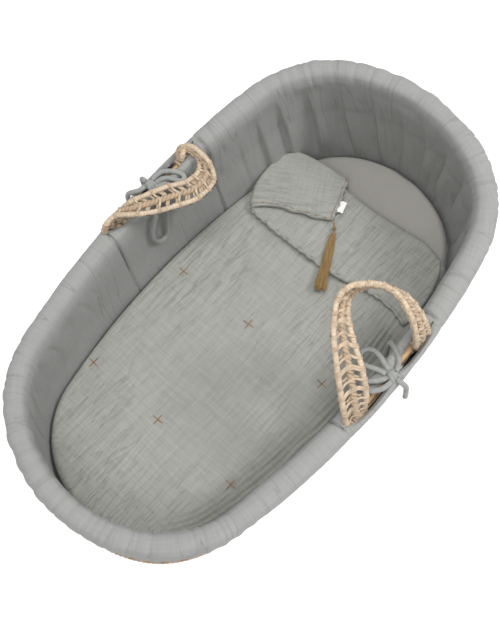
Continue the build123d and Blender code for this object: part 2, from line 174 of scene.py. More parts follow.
# ---------------------------------------------------------------- mesh helpers
class Soup:
    """Grids gathered into one mesh, with a UV map in metres."""

    def __init__(self):
        self.verts, self.faces, self.uvs, self.count = [], [], [], 0

    def grid(self, points, u=None, v=None, wrap=False, flip=False):
        """points: rows x columns x 3. wrap closes the columns into rings."""
        rows, cols = points.shape[:2]
        ids = np.arange(rows * cols).reshape(rows, cols) + self.count
        nxt = np.roll(ids, -1, 1) if wrap else ids[:, 1:]
        here = ids if wrap else ids[:, :-1]
        quads = np.stack([here[:-1], nxt[:-1], nxt[1:], here[1:]], -1).reshape(-1, 4)
        if flip:
            quads = quads[:, ::-1]
        if u is None:
            u = np.broadcast_to(np.linspace(0, 1, cols), (rows, cols))
        if v is None:
            v = np.broadcast_to(np.linspace(0, 1, rows)[:, None], (rows, cols))
        self.verts.append(points.reshape(-1, 3))
        self.uvs.append(np.stack([np.broadcast_to(u, (rows, cols)).ravel(),
                                  np.broadcast_to(v, (rows, cols)).ravel()], 1))
        self.faces.extend(quads.tolist())
        self.count += rows * cols
        return ids

    def cap(self, ids):
        """Closes a ring of vertex numbers with one face."""
        self.faces.append([int(i) for i in ids])

    def tube(self, path, radius, sides=8, squash=1.0, normal=None, closed=False, caps=True):
        """A tube along path; radius may vary; squash flattens it along the frame's normal."""
        path = np.asarray(path, float)
        tangent = np.gradient(path, axis=0)
        if closed:
            tangent = np.roll(path, -1, 0) - np.roll(path, 1, 0)
        tangent /= np.linalg.norm(tangent, axis=1)[:, None] + 1e-12
        if normal is None:
            normal = np.zeros_like(path)
            start = np.array([0, 0, 1.0]) if abs(tangent[0][2]) < 0.9 else np.array([1.0, 0, 0])
            current = start - tangent[0] * (start @ tangent[0])
            for i, t in enumerate(tangent):
                current = current - t * (current @ t)
                current /= np.linalg.norm(current)
                normal[i] = current
        else:
            normal = np.broadcast_to(normal, path.shape)
            normal = normal - tangent * (normal * tangent).sum(1)[:, None]
            normal = normal / (np.linalg.norm(normal, axis=1)[:, None] + 1e-12)
        side = np.cross(tangent, normal)
        turn = np.linspace(0, 2 * math.pi, sides, endpoint=False)
        radius = np.broadcast_to(radius, (len(path),))[:, None, None]
        ring = (np.cos(turn)[None, :, None] * side[:, None] +
                np.sin(turn)[None, :, None] * normal[:, None] * squash)
        points = path[:, None] + radius * ring
        run = np.concatenate([[0], np.cumsum(np.linalg.norm(np.diff(path, axis=0), axis=1))])
        around = turn * float(np.mean(radius))
        if closed:
            points = np.concatenate([points, points[:1]])
            run = np.concatenate([run, [run[-1] + run[1]]])
        ids = self.grid(points, around, run[:, None], wrap=True)
        if caps and not closed:
            self.cap(ids[0][::-1])
            self.cap(ids[-1])
        return ids

    def build(self, name, material, smooth=True):
        mesh = bpy.data.meshes.new(name)
        verts = np.concatenate(self.verts)
        mesh.from_pydata(verts.tolist(), [], self.faces)
        uvs = np.concatenate(self.uvs)
        layer = mesh.uv_layers.new(name="metres")
        loops = np.zeros(len(mesh.loops), np.int32)
        mesh.loops.foreach_get("vertex_index", loops)
        layer.data.foreach_set("uv", uvs[loops].astype(np.float32).ravel())
        mesh.polygons.foreach_set("use_smooth", [smooth] * len(mesh.polygons))
        mesh.materials.append(material)
        mesh.validate()
        mesh.update()
        piece = bpy.data.objects.new(name, mesh)
        bpy.context.scene.collection.objects.link(piece)
        return piece


def push(points, amount):
    """Moves a grid of points along its own normals."""
    du = np.gradient(points, axis=1)
    dv = np.gradient(points, axis=0)
    normal = np.cross(du, dv)
    normal /= np.linalg.norm(normal, axis=2)[..., None] + 1e-12
    return points + normal * amount[..., None]


# ---------------------------------------------------------------- materials
FIBRES_PER_METRE = (1600, 260, 1)


def principled(name, colour, roughness, specular=0.3, sheen=0.0):
    material = bpy.data.materials.new(name)
    material.use_nodes = True
    shader = material.node_tree.nodes["Principled BSDF"]
    shader.inputs["Base Color"].default_value = (*colour, 1)
    shader.inputs["Roughness"].default_value = roughness
    shader.inputs["Specular IOR Level"].default_value = specular
    shader.inputs["Sheen Weight"].default_value = sheen
    shader.inputs["Sheen Roughness"].default_value = 0.5
    return material, material.node_tree, shader


def node(tree, kind, links=(), **values):
    """Adds a node, sets its properties or numbered inputs, and links (socket, output) pairs."""
    made = tree.nodes.new(kind)
    for key, value in values.items():
        if key.startswith("in_"):
            made.inputs[int(key[3:])].default_value = value
        else:
            setattr(made, key, value)
    for socket, output in links:
        tree.links.new(output, made.inputs[socket])
    return made


def math_node(tree, operation, *values):
    made = node(tree, "ShaderNodeMath", operation=operation)
    for i, value in enumerate(values):
        if isinstance(value, (int, float)):
            made.inputs[i].default_value = value
        else:
            tree.links.new(value, made.inputs[i])
    return made.outputs[0]


def ramp(tree, factor, stops):
    made = node(tree, "ShaderNodeValToRGB", [(0, factor)])
    elements = made.color_ramp.elements
    while len(elements) < len(stops):
        elements.new(0.5)
    for element, (place, colour) in zip(elements, stops):
        element.position, element.color = place, (*colour, 1)
    return made.outputs[0]


def shade(colour, factor):
    return tuple(min(1.0, c * factor) for c in colour)


def crease_lines(tree, coords, along, across, width, distortion):
    """A mask of thin wandering lines, 1 on a line; along and across are per metre."""
    mapped = node(tree, "ShaderNodeMapping", [(0, coords)])
    mapped.inputs["Scale"].default_value = (along, across, 6)
    lines = node(tree, "ShaderNodeTexNoise", [(0, mapped.outputs[0])], in_2=1.0, in_3=2.0)
    lines.inputs["Distortion"].default_value = distortion
    away = math_node(tree, "ABSOLUTE", math_node(tree, "SUBTRACT", lines.outputs[0], 0.5))
    made = node(tree, "ShaderNodeMapRange", [(0, away)], interpolation_type="SMOOTHSTEP")
    for number, value in ((1, 0.0), (2, width), (3, 1.0), (4, 0.0)):
        made.inputs[number].default_value = value
    return made.outputs[0]


def woven_cloth(name, colour, pitch, use_uv, slub=0.5, contrast=0.12, bump=0.25, sheen=0.15,
                pucker=0.0, crease=None, turn=0.0):
    """Plain weave: crossing threads, thick and thin lines of them, puckers, and sharp creases with
    painted shade along them.
    """
    material, tree, shader = principled(name, colour, 0.9, 0.15, sheen)
    coords = node(tree, "ShaderNodeTexCoord").outputs["UV" if use_uv else "Object"]
    turned = node(tree, "ShaderNodeMapping", [(0, coords)])
    turned.inputs["Rotation"].default_value = (0, 0, turn)
    coords = turned.outputs[0]
    warp = node(tree, "ShaderNodeTexNoise", [(0, coords)], in_2=90.0, in_3=2.0)
    offset = node(tree, "ShaderNodeVectorMath", [(0, warp.outputs["Color"])], operation="SCALE")
    offset.inputs["Scale"].default_value = pitch * 0.9
    bent = node(tree, "ShaderNodeVectorMath", [(0, coords), (1, offset.outputs[0])],
                operation="ADD").outputs[0]
    split = node(tree, "ShaderNodeSeparateXYZ", [(0, bent)])
    waves = []
    for axis in (0, 1):
        phase = math_node(tree, "MULTIPLY", split.outputs[axis], 2 * math.pi / pitch)
        waves.append(math_node(tree, "SINE", phase))
    over = math_node(tree, "MULTIPLY", waves[0], waves[1])
    threads = math_node(tree, "MAXIMUM", math_node(tree, "ABSOLUTE", waves[0]),
                        math_node(tree, "ABSOLUTE", waves[1]))
    # Thick and thin threads: noise stretched along each thread direction.
    long_noise = []
    for stretch in ((24, 330), (330, 24)):
        mapped = node(tree, "ShaderNodeMapping", [(0, coords)])
        mapped.inputs["Scale"].default_value = (*stretch, 24)
        grain = node(tree, "ShaderNodeTexNoise", [(0, mapped.outputs[0])], in_2=1.0, in_3=2.5)
        long_noise.append(grain.outputs[0])
    slubs = math_node(tree, "MULTIPLY", math_node(tree, "ADD", long_noise[0], long_noise[1]), 0.5)
    height = math_node(tree, "ADD", math_node(tree, "MULTIPLY", threads, 0.5),
                       math_node(tree, "MULTIPLY", over, 0.25))
    cloudy = node(tree, "ShaderNodeTexNoise", [(0, coords)], in_2=9.0, in_3=4.0).outputs[0]
    mixed = math_node(tree, "ADD", math_node(tree, "MULTIPLY", over, 0.03),
                      math_node(tree, "MULTIPLY", slubs, slub))
    mixed = math_node(tree, "ADD", mixed, math_node(tree, "MULTIPLY", cloudy, 1 - slub))
    tint = ramp(tree, mixed, [(0.36, shade(colour, 1 - contrast)), (0.5, colour),
                              (0.64, shade(colour, 1 + contrast))])
    fold = slubs
    if crease:
        along, across, width, depth = crease
        lines = crease_lines(tree, coords, along, across, width, 0.12)
        patch = node(tree, "ShaderNodeTexNoise", [(0, coords)], in_2=7.0, in_3=2.0).outputs[0]
        where = node(tree, "ShaderNodeMapRange", [(0, patch)])
        for number, value in ((1, 0.36), (2, 0.62), (3, 0.12), (4, 1.0)):
            where.inputs[number].default_value = value
        lines = math_node(tree, "MULTIPLY", lines, where.outputs[0])
        fold = math_node(tree, "SUBTRACT", fold, math_node(tree, "MULTIPLY", lines, depth))
        # Painted shade: the cloth's colour is darkened along the crease lines, where shade would fall
        # in the folds.
        painted_crease_shade = node(tree, "ShaderNodeMix", data_type="RGBA", blend_type="MULTIPLY")
        tree.links.new(math_node(tree, "MULTIPLY", lines, 0.55), painted_crease_shade.inputs["Factor"])
        tree.links.new(tint, painted_crease_shade.inputs["A"])
        painted_crease_shade.inputs["B"].default_value = (0.66, 0.66, 0.66, 1)
        tint = painted_crease_shade.outputs["Result"]
    tree.links.new(tint, shader.inputs["Base Color"])
    puckers = node(tree, "ShaderNodeBump", [("Height", fold)])
    puckers.inputs["Strength"].default_value = 1.0
    puckers.inputs["Distance"].default_value = pucker
    raised = node(tree, "ShaderNodeBump", [("Height", height), ("Normal", puckers.outputs[0])])
    raised.inputs["Strength"].default_value = bump
    raised.inputs["Distance"].default_value = pitch * 0.6
    tree.links.new(raised.outputs[0], shader.inputs["Normal"])
    return material


def straw(name, pale, dark):
    """Dry leaf: fibres along the strand, pale and dark patches, and darker creases."""
    material, tree, shader = principled(name, pale, 0.62, 0.35, 0.05)
    coords = node(tree, "ShaderNodeTexCoord").outputs["Object"]
    patch = node(tree, "ShaderNodeTexNoise", [(0, coords)], in_2=70.0, in_3=4.0).outputs[0]
    fine = node(tree, "ShaderNodeTexNoise", [(0, coords)], in_2=420.0, in_3=3.0).outputs[0]
    uv = node(tree, "ShaderNodeTexCoord").outputs["UV"]
    mapped = node(tree, "ShaderNodeMapping", [(0, uv)])
    mapped.inputs["Scale"].default_value = FIBRES_PER_METRE
    fibres = node(tree, "ShaderNodeTexNoise", [(0, mapped.outputs[0])], in_2=1.0, in_3=4.0)
    mixed = math_node(tree, "ADD", math_node(tree, "MULTIPLY", patch, 0.5),
                      math_node(tree, "MULTIPLY", fibres.outputs[0], 0.3))
    mixed = math_node(tree, "ADD", mixed, math_node(tree, "MULTIPLY", fine, 0.2))
    tint = ramp(tree, mixed, [(0.34, dark), (0.43, shade(pale, 0.86)), (0.53, pale),
                              (0.66, shade(pale, 1.16))])
    # Creases gather shade: Geometry's pointiness darkens the hollows between strands.
    point = node(tree, "ShaderNodeNewGeometry").outputs["Pointiness"]
    hollow = ramp(tree, point, [(0.42, (0.40, 0.28, 0.18)), (0.5, (1, 1, 1))])
    multiply = node(tree, "ShaderNodeMix", data_type="RGBA", blend_type="MULTIPLY")
    multiply.inputs["Factor"].default_value = 0.55
    tree.links.new(tint, multiply.inputs["A"])
    tree.links.new(hollow, multiply.inputs["B"])
    tree.links.new(multiply.outputs["Result"], shader.inputs["Base Color"])
    raised = node(tree, "ShaderNodeBump", [("Height", mixed)])
    raised.inputs["Strength"].default_value = 0.6
    raised.inputs["Distance"].default_value = 0.0008
    tree.links.new(raised.outputs[0], shader.inputs["Normal"])
    return material


def thread(name, colour, roughness=0.6, heading=None):
    """Twisted cotton thread: ply marks, and streaks along a heading where many threads lie."""
    material, tree, shader = principled(name, colour, roughness, 0.25, 0.2)
    uv = node(tree, "ShaderNodeTexCoord").outputs["UV"]
    split = node(tree, "ShaderNodeSeparateXYZ", [(0, uv)])
    slant = math_node(tree, "ADD", math_node(tree, "MULTIPLY", split.outputs[0], 2500.0),
                      math_node(tree, "MULTIPLY", split.outputs[1], 5200.0))
    ply = math_node(tree, "SINE", slant)
    coords = node(tree, "ShaderNodeTexCoord").outputs["Object"]
    scale = 160.0
    if heading is not None:
        mapped = node(tree, "ShaderNodeMapping", [(0, coords)], vector_type="TEXTURE")
        mapped.inputs["Rotation"].default_value = (0, 0, heading)
        mapped.inputs["Scale"].default_value = (0.04, 0.0011, 0.0016)
        coords, scale = mapped.outputs[0], 1.0
    cloud = node(tree, "ShaderNodeTexNoise", [(0, coords)], in_2=scale, in_3=3.0).outputs[0]
    mixed = math_node(tree, "ADD", math_node(tree, "MULTIPLY", ply, 0.10), cloud)
    tint = ramp(tree, mixed, [(0.3, shade(colour, 0.62)), (0.5, colour), (0.7, shade(colour, 1.3))])
    tree.links.new(tint, shader.inputs["Base Color"])
    raised = node(tree, "ShaderNodeBump", [("Height", ply)])
    raised.inputs["Strength"].default_value = 0.5
    raised.inputs["Distance"].default_value = 0.0003
    tree.links.new(raised.outputs[0], shader.inputs["Normal"])
    return material


LINER_COLOUR = (0.293, 0.297, 0.286)
QUILT_COLOUR = (0.325, 0.328, 0.300)
LINER_CLOTH = woven_cloth("liner_cloth", LINER_COLOUR, 0.0013, True, slub=0.8, contrast=0.065,
                          pucker=0.0007, crease=(34, 3, 0.016, 0.3))
QUILT_CLOTH, CORNER_CLOTH = (
    woven_cloth(name, QUILT_COLOUR, 0.0017, False, slub=0.85, contrast=0.10, bump=0.4,
                pucker=0.0012, crease=(11, 130, 0.022, 0.4), turn=turn)
    for name, turn in (("quilt_cloth", 0.0), ("corner_cloth", math.radians(61))))
SHEET_CLOTH = woven_cloth("sheet_cloth", (0.345, 0.332, 0.311), 0.0008, False, slub=0.3,
                          contrast=0.05, bump=0.12, pucker=0.0003)
TIE_CLOTH = woven_cloth("tie_cloth", (0.30, 0.308, 0.294), 0.0013, False, slub=0.9, bump=0.5,
                        pucker=0.0006)
PALM = straw("palm_leaf", (0.60, 0.44, 0.27), (0.24, 0.14, 0.065))
HANDLE_STRAW = straw("handle_straw", (0.655, 0.545, 0.415), (0.35, 0.25, 0.16))
CANE_STRAW = straw("cane_straw", (0.62, 0.42, 0.23), (0.28, 0.155, 0.07))
OCHRE = thread("ochre_thread", (0.28, 0.17, 0.06))
TASSEL_THREAD = thread("tassel_thread", (0.29, 0.18, 0.065), heading=math.radians(27.6))
RUST = thread("rust_thread", (0.27, 0.15, 0.065))
LABEL_TAPE = woven_cloth("label_tape", (0.82, 0.81, 0.77), 0.0007, True, slub=0.2, contrast=0.04,
                         bump=0.3, pucker=0.0002)


# ---------------------------------------------------------------- camera and light
def look_down():
    """The camera, over the foot end on the right, looking down into the basket."""
    azimuth, elevation, roll = (math.radians(a) for a in (51.02, 67.25, -9.70))
    distance, aim = 1.4445, Vector((0, 0, 0.13))
    back = Vector((-math.cos(azimuth) * math.cos(elevation),
                   -math.sin(azimuth) * math.cos(elevation), math.sin(elevation)))
    level = (-back).cross(Vector((0, 0, 1))).normalized()
    above = level.cross(-back)
    right = math.cos(roll) * level + math.sin(roll) * above
    up = -math.sin(roll) * level + math.cos(roll) * above
    data = bpy.data.cameras.new("camera")
    data.lens, data.sensor_width = 53.15, 36
    data.shift_x, data.shift_y = -0.0045, 0.0032
    camera = bpy.data.objects.new("camera", data)
    place = aim + back * distance
    bpy.context.scene.collection.objects.link(camera)
    camera.matrix_world = Matrix([[right[i], up[i], back[i], place[i]] for i in range(3)]
                                 + [[0, 0, 0, 1]])
    bpy.context.scene.camera = camera


def area_light(name, place, aim, size, power):
    data = bpy.data.lights.new(name, "AREA")
    data.shape, data.size, data.energy = "DISK", size, power
    lamp = bpy.data.objects.new(name, data)
    lamp.location = place
    lamp.rotation_euler = (Vector(aim) - Vector(place)).to_track_quat("-Z", "Y").to_euler()
    bpy.context.scene.collection.objects.link(lamp)


def studio():
    """A pale floor under even light, a little stronger from the right of the basket."""
    scene = bpy.context.scene
    scene.view_settings.view_transform = "Standard"
    world = bpy.data.worlds.new("studio")
    world.use_nodes = True
    world.node_tree.nodes["Background"].inputs[0].default_value = (1, 1, 1, 1)
    world.node_tree.nodes["Background"].inputs[1].default_value = 0.52
    scene.world = world
    area_light("key", (1.2, -1.2, 2.1), (0, 0, 0.05), 0.7, 27)
    area_light("overhead", (-0.15, -0.15, 3.2), (0.05, 0, 0), 1.0, 42)
    area_light("front", (-1.2, -1.0, 2.4), (0.1, 0, 0.05), 1.0, 18)
    ground = Soup()
    reach = np.linspace(-6, 6, 13)
    gx, gy = np.meshgrid(reach, reach)
    ground.grid(np.stack([gx, gy, np.zeros_like(gx) - 0.0005], -1))
    material, _, shader = principled("floor", (0.30, 0.30, 0.30), 0.9, 0.1)
    # The paper glows a little, as it would lit from behind, so the shadow on it stays faint.
    shader.inputs["Emission Color"].default_value = (1, 1, 1, 1)
    shader.inputs["Emission Strength"].default_value = 0.85
    ground.build("floor", material, smooth=False)


look_down()
studio()


# ---------------------------------------------------------------- ties
TIE_DIAMETER = 0.008
TIES = {
    "tie_left_loop_low": (0.266, "object", [
        (0.0306, 0.231, 0.219), (0.0295, 0.221, 0.218), (0.021, 0.209, 0.213), (0.009, 0.205, 0.199),
        (-0.002, 0.206, 0.180), (-0.008, 0.207, 0.158), (-0.009, 0.207, 0.137), (-0.002, 0.207, 0.120),
        (0.010, 0.207, 0.114), (0.020, 0.207, 0.122), (0.024, 0.207, 0.141), (0.026, 0.206, 0.162),
        (0.031, 0.205, 0.182), (0.035, 0.206, 0.201), (0.038, 0.212, 0.214),
        (0.0392, 0.2215, 0.2185), (0.0394, 0.231, 0.219)]),
    "tie_left_loop_high": (0.111, "object", [
        (0.044, 0.2356, 0.219), (0.053, 0.234, 0.221), (0.060, 0.226, 0.223), (0.065, 0.215, 0.2235),
        (0.070, 0.204, 0.222), (0.0795, 0.206, 0.222), (0.080, 0.217, 0.223), (0.073, 0.229, 0.224),
        (0.064, 0.240, 0.223), (0.053, 0.2444, 0.2205), (0.044, 0.2444, 0.219)]),
    "tie_left_tail_foot": (0.095, "bare", [
        (0.026, 0.2444, 0.219), (0.017, 0.245, 0.2195), (0.009, 0.252, 0.218), (0.004, 0.261, 0.210),
        (0.002, 0.264, 0.197), (0.002, 0.263, 0.181), (0.001, 0.262, 0.164), (-0.001, 0.261, 0.147)]),
    "tie_left_tail_head": (0.103, "bare", [
        (0.035, 0.249, 0.219), (0.0355, 0.258, 0.2175), (0.037, 0.264, 0.208), (0.038, 0.264, 0.193),
        (0.037, 0.263, 0.176), (0.039, 0.262, 0.158), (0.041, 0.262, 0.141), (0.041, 0.261, 0.125)]),
    "tie_right_loop_high": (0.1105, "object", [
        (0.0306, -0.232, 0.219), (0.029, -0.222, 0.221), (0.024, -0.211, 0.222),
        (0.020, -0.200, 0.2205), (0.024, -0.190, 0.218), (0.034, -0.185, 0.217),
        (0.044, -0.189, 0.218), (0.048, -0.200, 0.2205), (0.046, -0.211, 0.222),
        (0.041, -0.222, 0.221), (0.0394, -0.232, 0.219)]),
    "tie_right_loop_low": (0.0896, "object", [
        (0.026, -0.2366, 0.219), (0.017, -0.233, 0.221), (0.009, -0.225, 0.2225),
        (0.001, -0.217, 0.221), (-0.006, -0.216, 0.220), (-0.008, -0.225, 0.2215),
        (-0.003, -0.234, 0.2225), (0.006, -0.241, 0.222), (0.016, -0.245, 0.2205),
        (0.026, -0.2454, 0.219)]),
    "tie_right_tail_out": (0.107, "bare", [
        (0.035, -0.250, 0.219), (0.036, -0.259, 0.2175), (0.038, -0.265, 0.208),
        (0.040, -0.265, 0.193), (0.043, -0.264, 0.175), (0.047, -0.263, 0.157),
        (0.050, -0.262, 0.140), (0.052, -0.261, 0.122)]),
    "tie_right_tail_in": (0.100, "bare", [
        (0.044, -0.241, 0.219), (0.053, -0.239, 0.220), (0.062, -0.231, 0.2215),
        (0.070, -0.217, 0.2205), (0.0755, -0.2065, 0.2115), (0.076, -0.203, 0.196),
        (0.074, -0.2035, 0.178), (0.072, -0.2045, 0.161)]),
}


def tie(name, route):
    """One free strand of a bow: a soft sewn tube of cloth along a smooth line."""
    data = bpy.data.curves.new(name + "_cloth", "CURVE")
    data.dimensions = "3D"
    spline = data.splines.new("NURBS")
    spline.points.add(len(route) - 1)
    for point, place in zip(spline.points, route):
        point.co = (*place, 1)
    spline.order_u = 3
    spline.use_endpoint_u = True
    data.bevel_depth = TIE_DIAMETER / 2
    data.bevel_resolution = 4
    data.resolution_u = 10
    data.use_fill_caps = True
    data.materials.append(TIE_CLOTH)
    piece = bpy.data.objects.new(name + "_cloth", data)
    bpy.context.scene.collection.objects.link(piece)
    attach(piece, "basket")
    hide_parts(name)


for tie_name, (tie_length, tie_end, tie_route) in TIES.items():
    tie(tie_name, tie_route)


def dress(piece, body, slot_name, *nodes):
    """Says which body a piece rides on and hides the CAD nodes it stands for; slot_name is not used."""
    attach(piece, body)
    if nodes:
        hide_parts(*nodes)
    return piece


# ---------------------------------------------------------------- padded liner
MM = 0.001
LINER_STEP = 0.0024
INNER_SECTION = ((-30, 8.6, 0), (-16, 8.6, 0), (-13.5, 13, 0), (-13.5, 45, 0), (-15.2, -115, 1),
                 (-18.6, -85, 1), (-22.2, -55, 1), (-24.6, -32, 1), (-25, -17, 1))
TOP_CLOSED = ((-21.5, -5, 1), (-13, 0.5, 1), (-3, 1.5, 1))
TOP_CLOSED_OUT = ((-3, 1.5, 1), (6, -2, 1), (11.5, -11, 1))
LIP_OPEN = ((-24, -6, 1), (-15, -5, 1), (-9.5, -13, 1))
FLAP_OPEN = ((4.5, -15, 1), (8.0, -5.5, 1), (12.4, -10, 1))
OUTER_SECTION = ((12, -22, 1), (8.5, -32, 1), (7, -36, 1), (9, -45, 1), (10.5, -60, 1),
                 (9.5, -76, 1), (7, -84, 1), (5.2, -89, 1), (3.2, -90, 1), (1.6, -87, 1))


def section(rows, rim):
    """Control points (offset, height) of a cross-section for every column."""
    points = [np.stack([np.full_like(rim, offset * MM), (rim if from_rim else 0) + height * MM
                        + 0 * rim], -1) for offset, height, from_rim in rows]
    return np.array(points)


def slit_opening(x):
    """How far the slit stands open: 0 where it is closed or tied, 1 at the middle of each half."""
    foot = (x - SLIT_FOOT_X) / (TIE_X - SLIT_FOOT_X)
    head = (SLIT_HEAD_X - x) / (SLIT_HEAD_X - TIE_X)
    lens = np.where(x < TIE_X, np.sin(np.pi * np.clip(foot, 0, 1)),
                    np.sin(np.pi * np.clip(head, 0, 1)))
    return np.clip(lens, 0, 1) ** 0.75


def liner_surface(strip, angle):
    """Points of one strip of a panel, with how far along and across each one is."""
    rim_x, _ = oval_point(angle, 0.21, 0)
    rim = rim_height(rim_x)
    opening = slit_opening(rim_x)[:, None] if strip != "whole" else None
    if strip == "whole":
        rows = section(INNER_SECTION + TOP_CLOSED + TOP_CLOSED_OUT[1:] + OUTER_SECTION, rim)
    elif strip == "inner":
        top = section(TOP_CLOSED, rim) * (1 - opening) + section(LIP_OPEN, rim) * opening
        rows = np.concatenate([section(INNER_SECTION, rim), top])
    else:
        top = section(TOP_CLOSED_OUT, rim) * (1 - opening) + section(FLAP_OPEN, rim) * opening
        rows = np.concatenate([top, section(OUTER_SECTION, rim)])
    fine = through(rows, 7)
    offset, height = fine[..., 0], fine[..., 1]
    x, y = oval_point(angle[None, :], height, offset)
    points = np.stack([x, y, height], -1)
    across = np.concatenate([np.zeros((1, len(angle))),
                             np.cumsum(np.linalg.norm(np.diff(points, axis=0), axis=2), axis=0)])
    return points, offset, height, rim, across


def pleats(along, height, seed):
    """Upright pleats, 0 to 1: each swells slowly and drops away sharply on one side."""
    place = along * 18 + 0.9 * noise(along * 6, 0 * height, seed) \
        + 0.10 * noise(along * 10, height * 7, seed + 1)
    share = place - np.floor(place)
    size = 0.35 + 0.65 * hashed(np.floor(place), 0.0, seed + 2)
    return size * smooth_step(share, 0, 0.7) * (1 - smooth_step(share, 0.88, 1.0))


def soft_folds(points, offset, height, rim, lengths, across):
    """How far each point of the liner stands off its smooth shape."""
    along = np.broadcast_to(lengths[None, :], height.shape)
    x, y = points[..., 0], points[..., 1]
    below = rim - height
    inside = smooth_step(-offset, 0.010, 0.015) * smooth_step(below, 0.020, 0.050)
    outside = smooth_step(offset, 0.002, 0.006) * smooth_step(below, 0.034, 0.042)
    roll = 1 - np.maximum(inside, outside)
    # Padding: long soft swellings everywhere, shorter ones on the roll.
    amount = 0.0011 * noise(along * 9, across * 7, 3) * (0.4 + 0.6 * roll)
    amount += 0.0006 * noise(along * 28, across * 16, 5) * roll
    # Fine creases across the roll, where the outline turns hardest.
    turning = smooth_step(np.abs(x), 0.18, 0.34)
    amount -= 0.0022 * ridges(along * 74 + 0.8 * noise(along * 8, across * 9, 8), across * 5, 6) \
        * roll * (0.25 + 0.75 * turning)
    # Upright pleats inside the head, strongest at the mattress and gone at the roll.
    head = smooth_step(x, 0.15, 0.24)
    fade = smooth_step(height, 0.255, 0.10)
    amount += inside * head * fade * 0.0160 * (pleats(along, height, 12) - 0.28) \
        * (0.25 + 0.75 * smooth_step(height, 0.035, 0.085))
    tuck = ridges(along * 22 + 0.3 * noise(along * 8, height * 9, 15), 0 * along, 16) ** 2
    amount -= inside * head * 0.0050 * tuck * bump(height, 0.050, 0.035)
    # Finer upright creases inside the foot and the sides.
    foot = smooth_step(-x, 0.10, 0.24)
    crease = ridges(along * 34 + 0.9 * noise(along * 7, height * 9, 21), height * 4, 22)
    amount -= inside * (0.0030 * foot + 0.0010) * crease * smooth_step(height, 0.02, 0.09)
    amount += inside * 0.0024 * noise(along * 11, height * 6, 25)
    # The skirt below the roll is gathered by the elastic in its hem.
    down = smooth_step(below, 0.045, 0.086)
    gather = np.sin(2 * np.pi * (along * 42 + 1.2 * noise(along * 6, below * 10, 31)))
    amount += outside * down * (0.0016 * gather + 0.0010 * noise(along * 60, below * 20, 33))
    amount += outside * 0.0012 * noise(along * 14, below * 16, 35)
    # The crease where the roll meets the skirt.
    amount -= 0.0010 * bump(below, 0.036, 0.004) * outside
    # Seams between the panels.
    side = np.abs(y) > 0.1
    for seam_x in (SEAM_FOOT_X, SEAM_HEAD_X):
        # The panels on both sides of a seam meet at the same depth.
        amount = amount * (1 - bump(x, seam_x, 0.005) * side)
    for seam_x in (SEAM_FOOT_X, SEAM_HEAD_X):
        inner = smooth_step(-offset, -0.004, 0.006)
        amount -= (0.0012 + 0.0066 * inner) * bump(x, seam_x, 0.0019) * side
        amount += 0.0014 * inside * bump(x, seam_x, 0.010) * side * np.abs(np.sin(across * 380))
    return amount


def liner_panel(name, start, end, strips):
    """One panel of the liner, from one seam to the next along the rim."""
    columns = max(8, int((end - start) / LINER_STEP))
    lengths = np.linspace(start, end, columns)
    angle = RIM.angles(lengths)
    soup = Soup()
    for strip in strips:
        points, offset, height, rim, across = liner_surface(strip, angle)
        amount = soft_folds(points, offset, height, rim, lengths, across)
        soup.grid(push(points, -amount), lengths[None, :], across)
    return soup.build(f"liner_{name}_padding", LINER_CLOTH)


def liner():
    """The four panels; a side panel is two strips, with its slit between them."""
    left_foot, left_head = (RIM.where_x(x, 1) for x in (SEAM_FOOT_X, SEAM_HEAD_X))
    right_foot, right_head = (RIM.where_x(x, -1) for x in (SEAM_FOOT_X, SEAM_HEAD_X))
    spans = {"right": (right_foot, right_head, ("inner", "outer")),
             "head": (right_head, left_head, ("whole",)),
             "left": (left_head, left_foot, ("inner", "outer")),
             "foot": (left_foot, right_foot + RIM.total, ("whole",))}
    for name, (start, end, strips) in spans.items():
        panel = liner_panel(name, start, end, strips)
        nodes = [f"liner_{name}", f"wadding_{name}"] + (["liner_hem"] if name == "foot" else [])
        dress(panel, "basket", "liner_muslin", *nodes)


liner()


# ---------------------------------------------------------------- woven basket
def twisted_rope(soup, path, radius, pitch, plies=2, depth=0.2, sides=8, closed=False):
    """A rope whose plies turn round it."""
    first = soup.count
    ids = soup.tube(path, radius, sides=sides, closed=closed)
    points = soup.verts[-1].reshape(ids.shape[0], sides, 3)
    centre = points.mean(1, keepdims=True)
    run = np.concatenate([[0], np.cumsum(np.linalg.norm(np.diff(centre[:, 0], axis=0), axis=1))])
    if closed:
        pitch = run[-1] / max(1, round(run[-1] / pitch))
    turn = np.linspace(0, 2 * np.pi, sides, endpoint=False)
    phase = plies * (turn[None, :] - 2 * np.pi * run[:, None] / pitch)
    grow = 1 + depth * np.cos(phase)
    grow += 0.06 * noise(run[:, None] * 240, turn[None, :] * 2 + first % 97, 41)
    soup.verts[-1] = (centre + (points - centre) * grow[..., None]).reshape(-1, 3)


WALL_ROWS = 15
ROPE_RADIUS, ROPE_IN = 0.0026, 0.0027


def wall_ring(share, lengths):
    """A line round the wall at a share of its height."""
    angle = RIM.angles(lengths)
    rim_x, _ = oval_point(angle, 0.21, 0)
    height = 0.010 + share * (rim_height(rim_x) - 0.030 - 0.010)
    x, y = oval_point(angle, height, -ROPE_IN)
    return np.stack([x, y, height], -1), angle


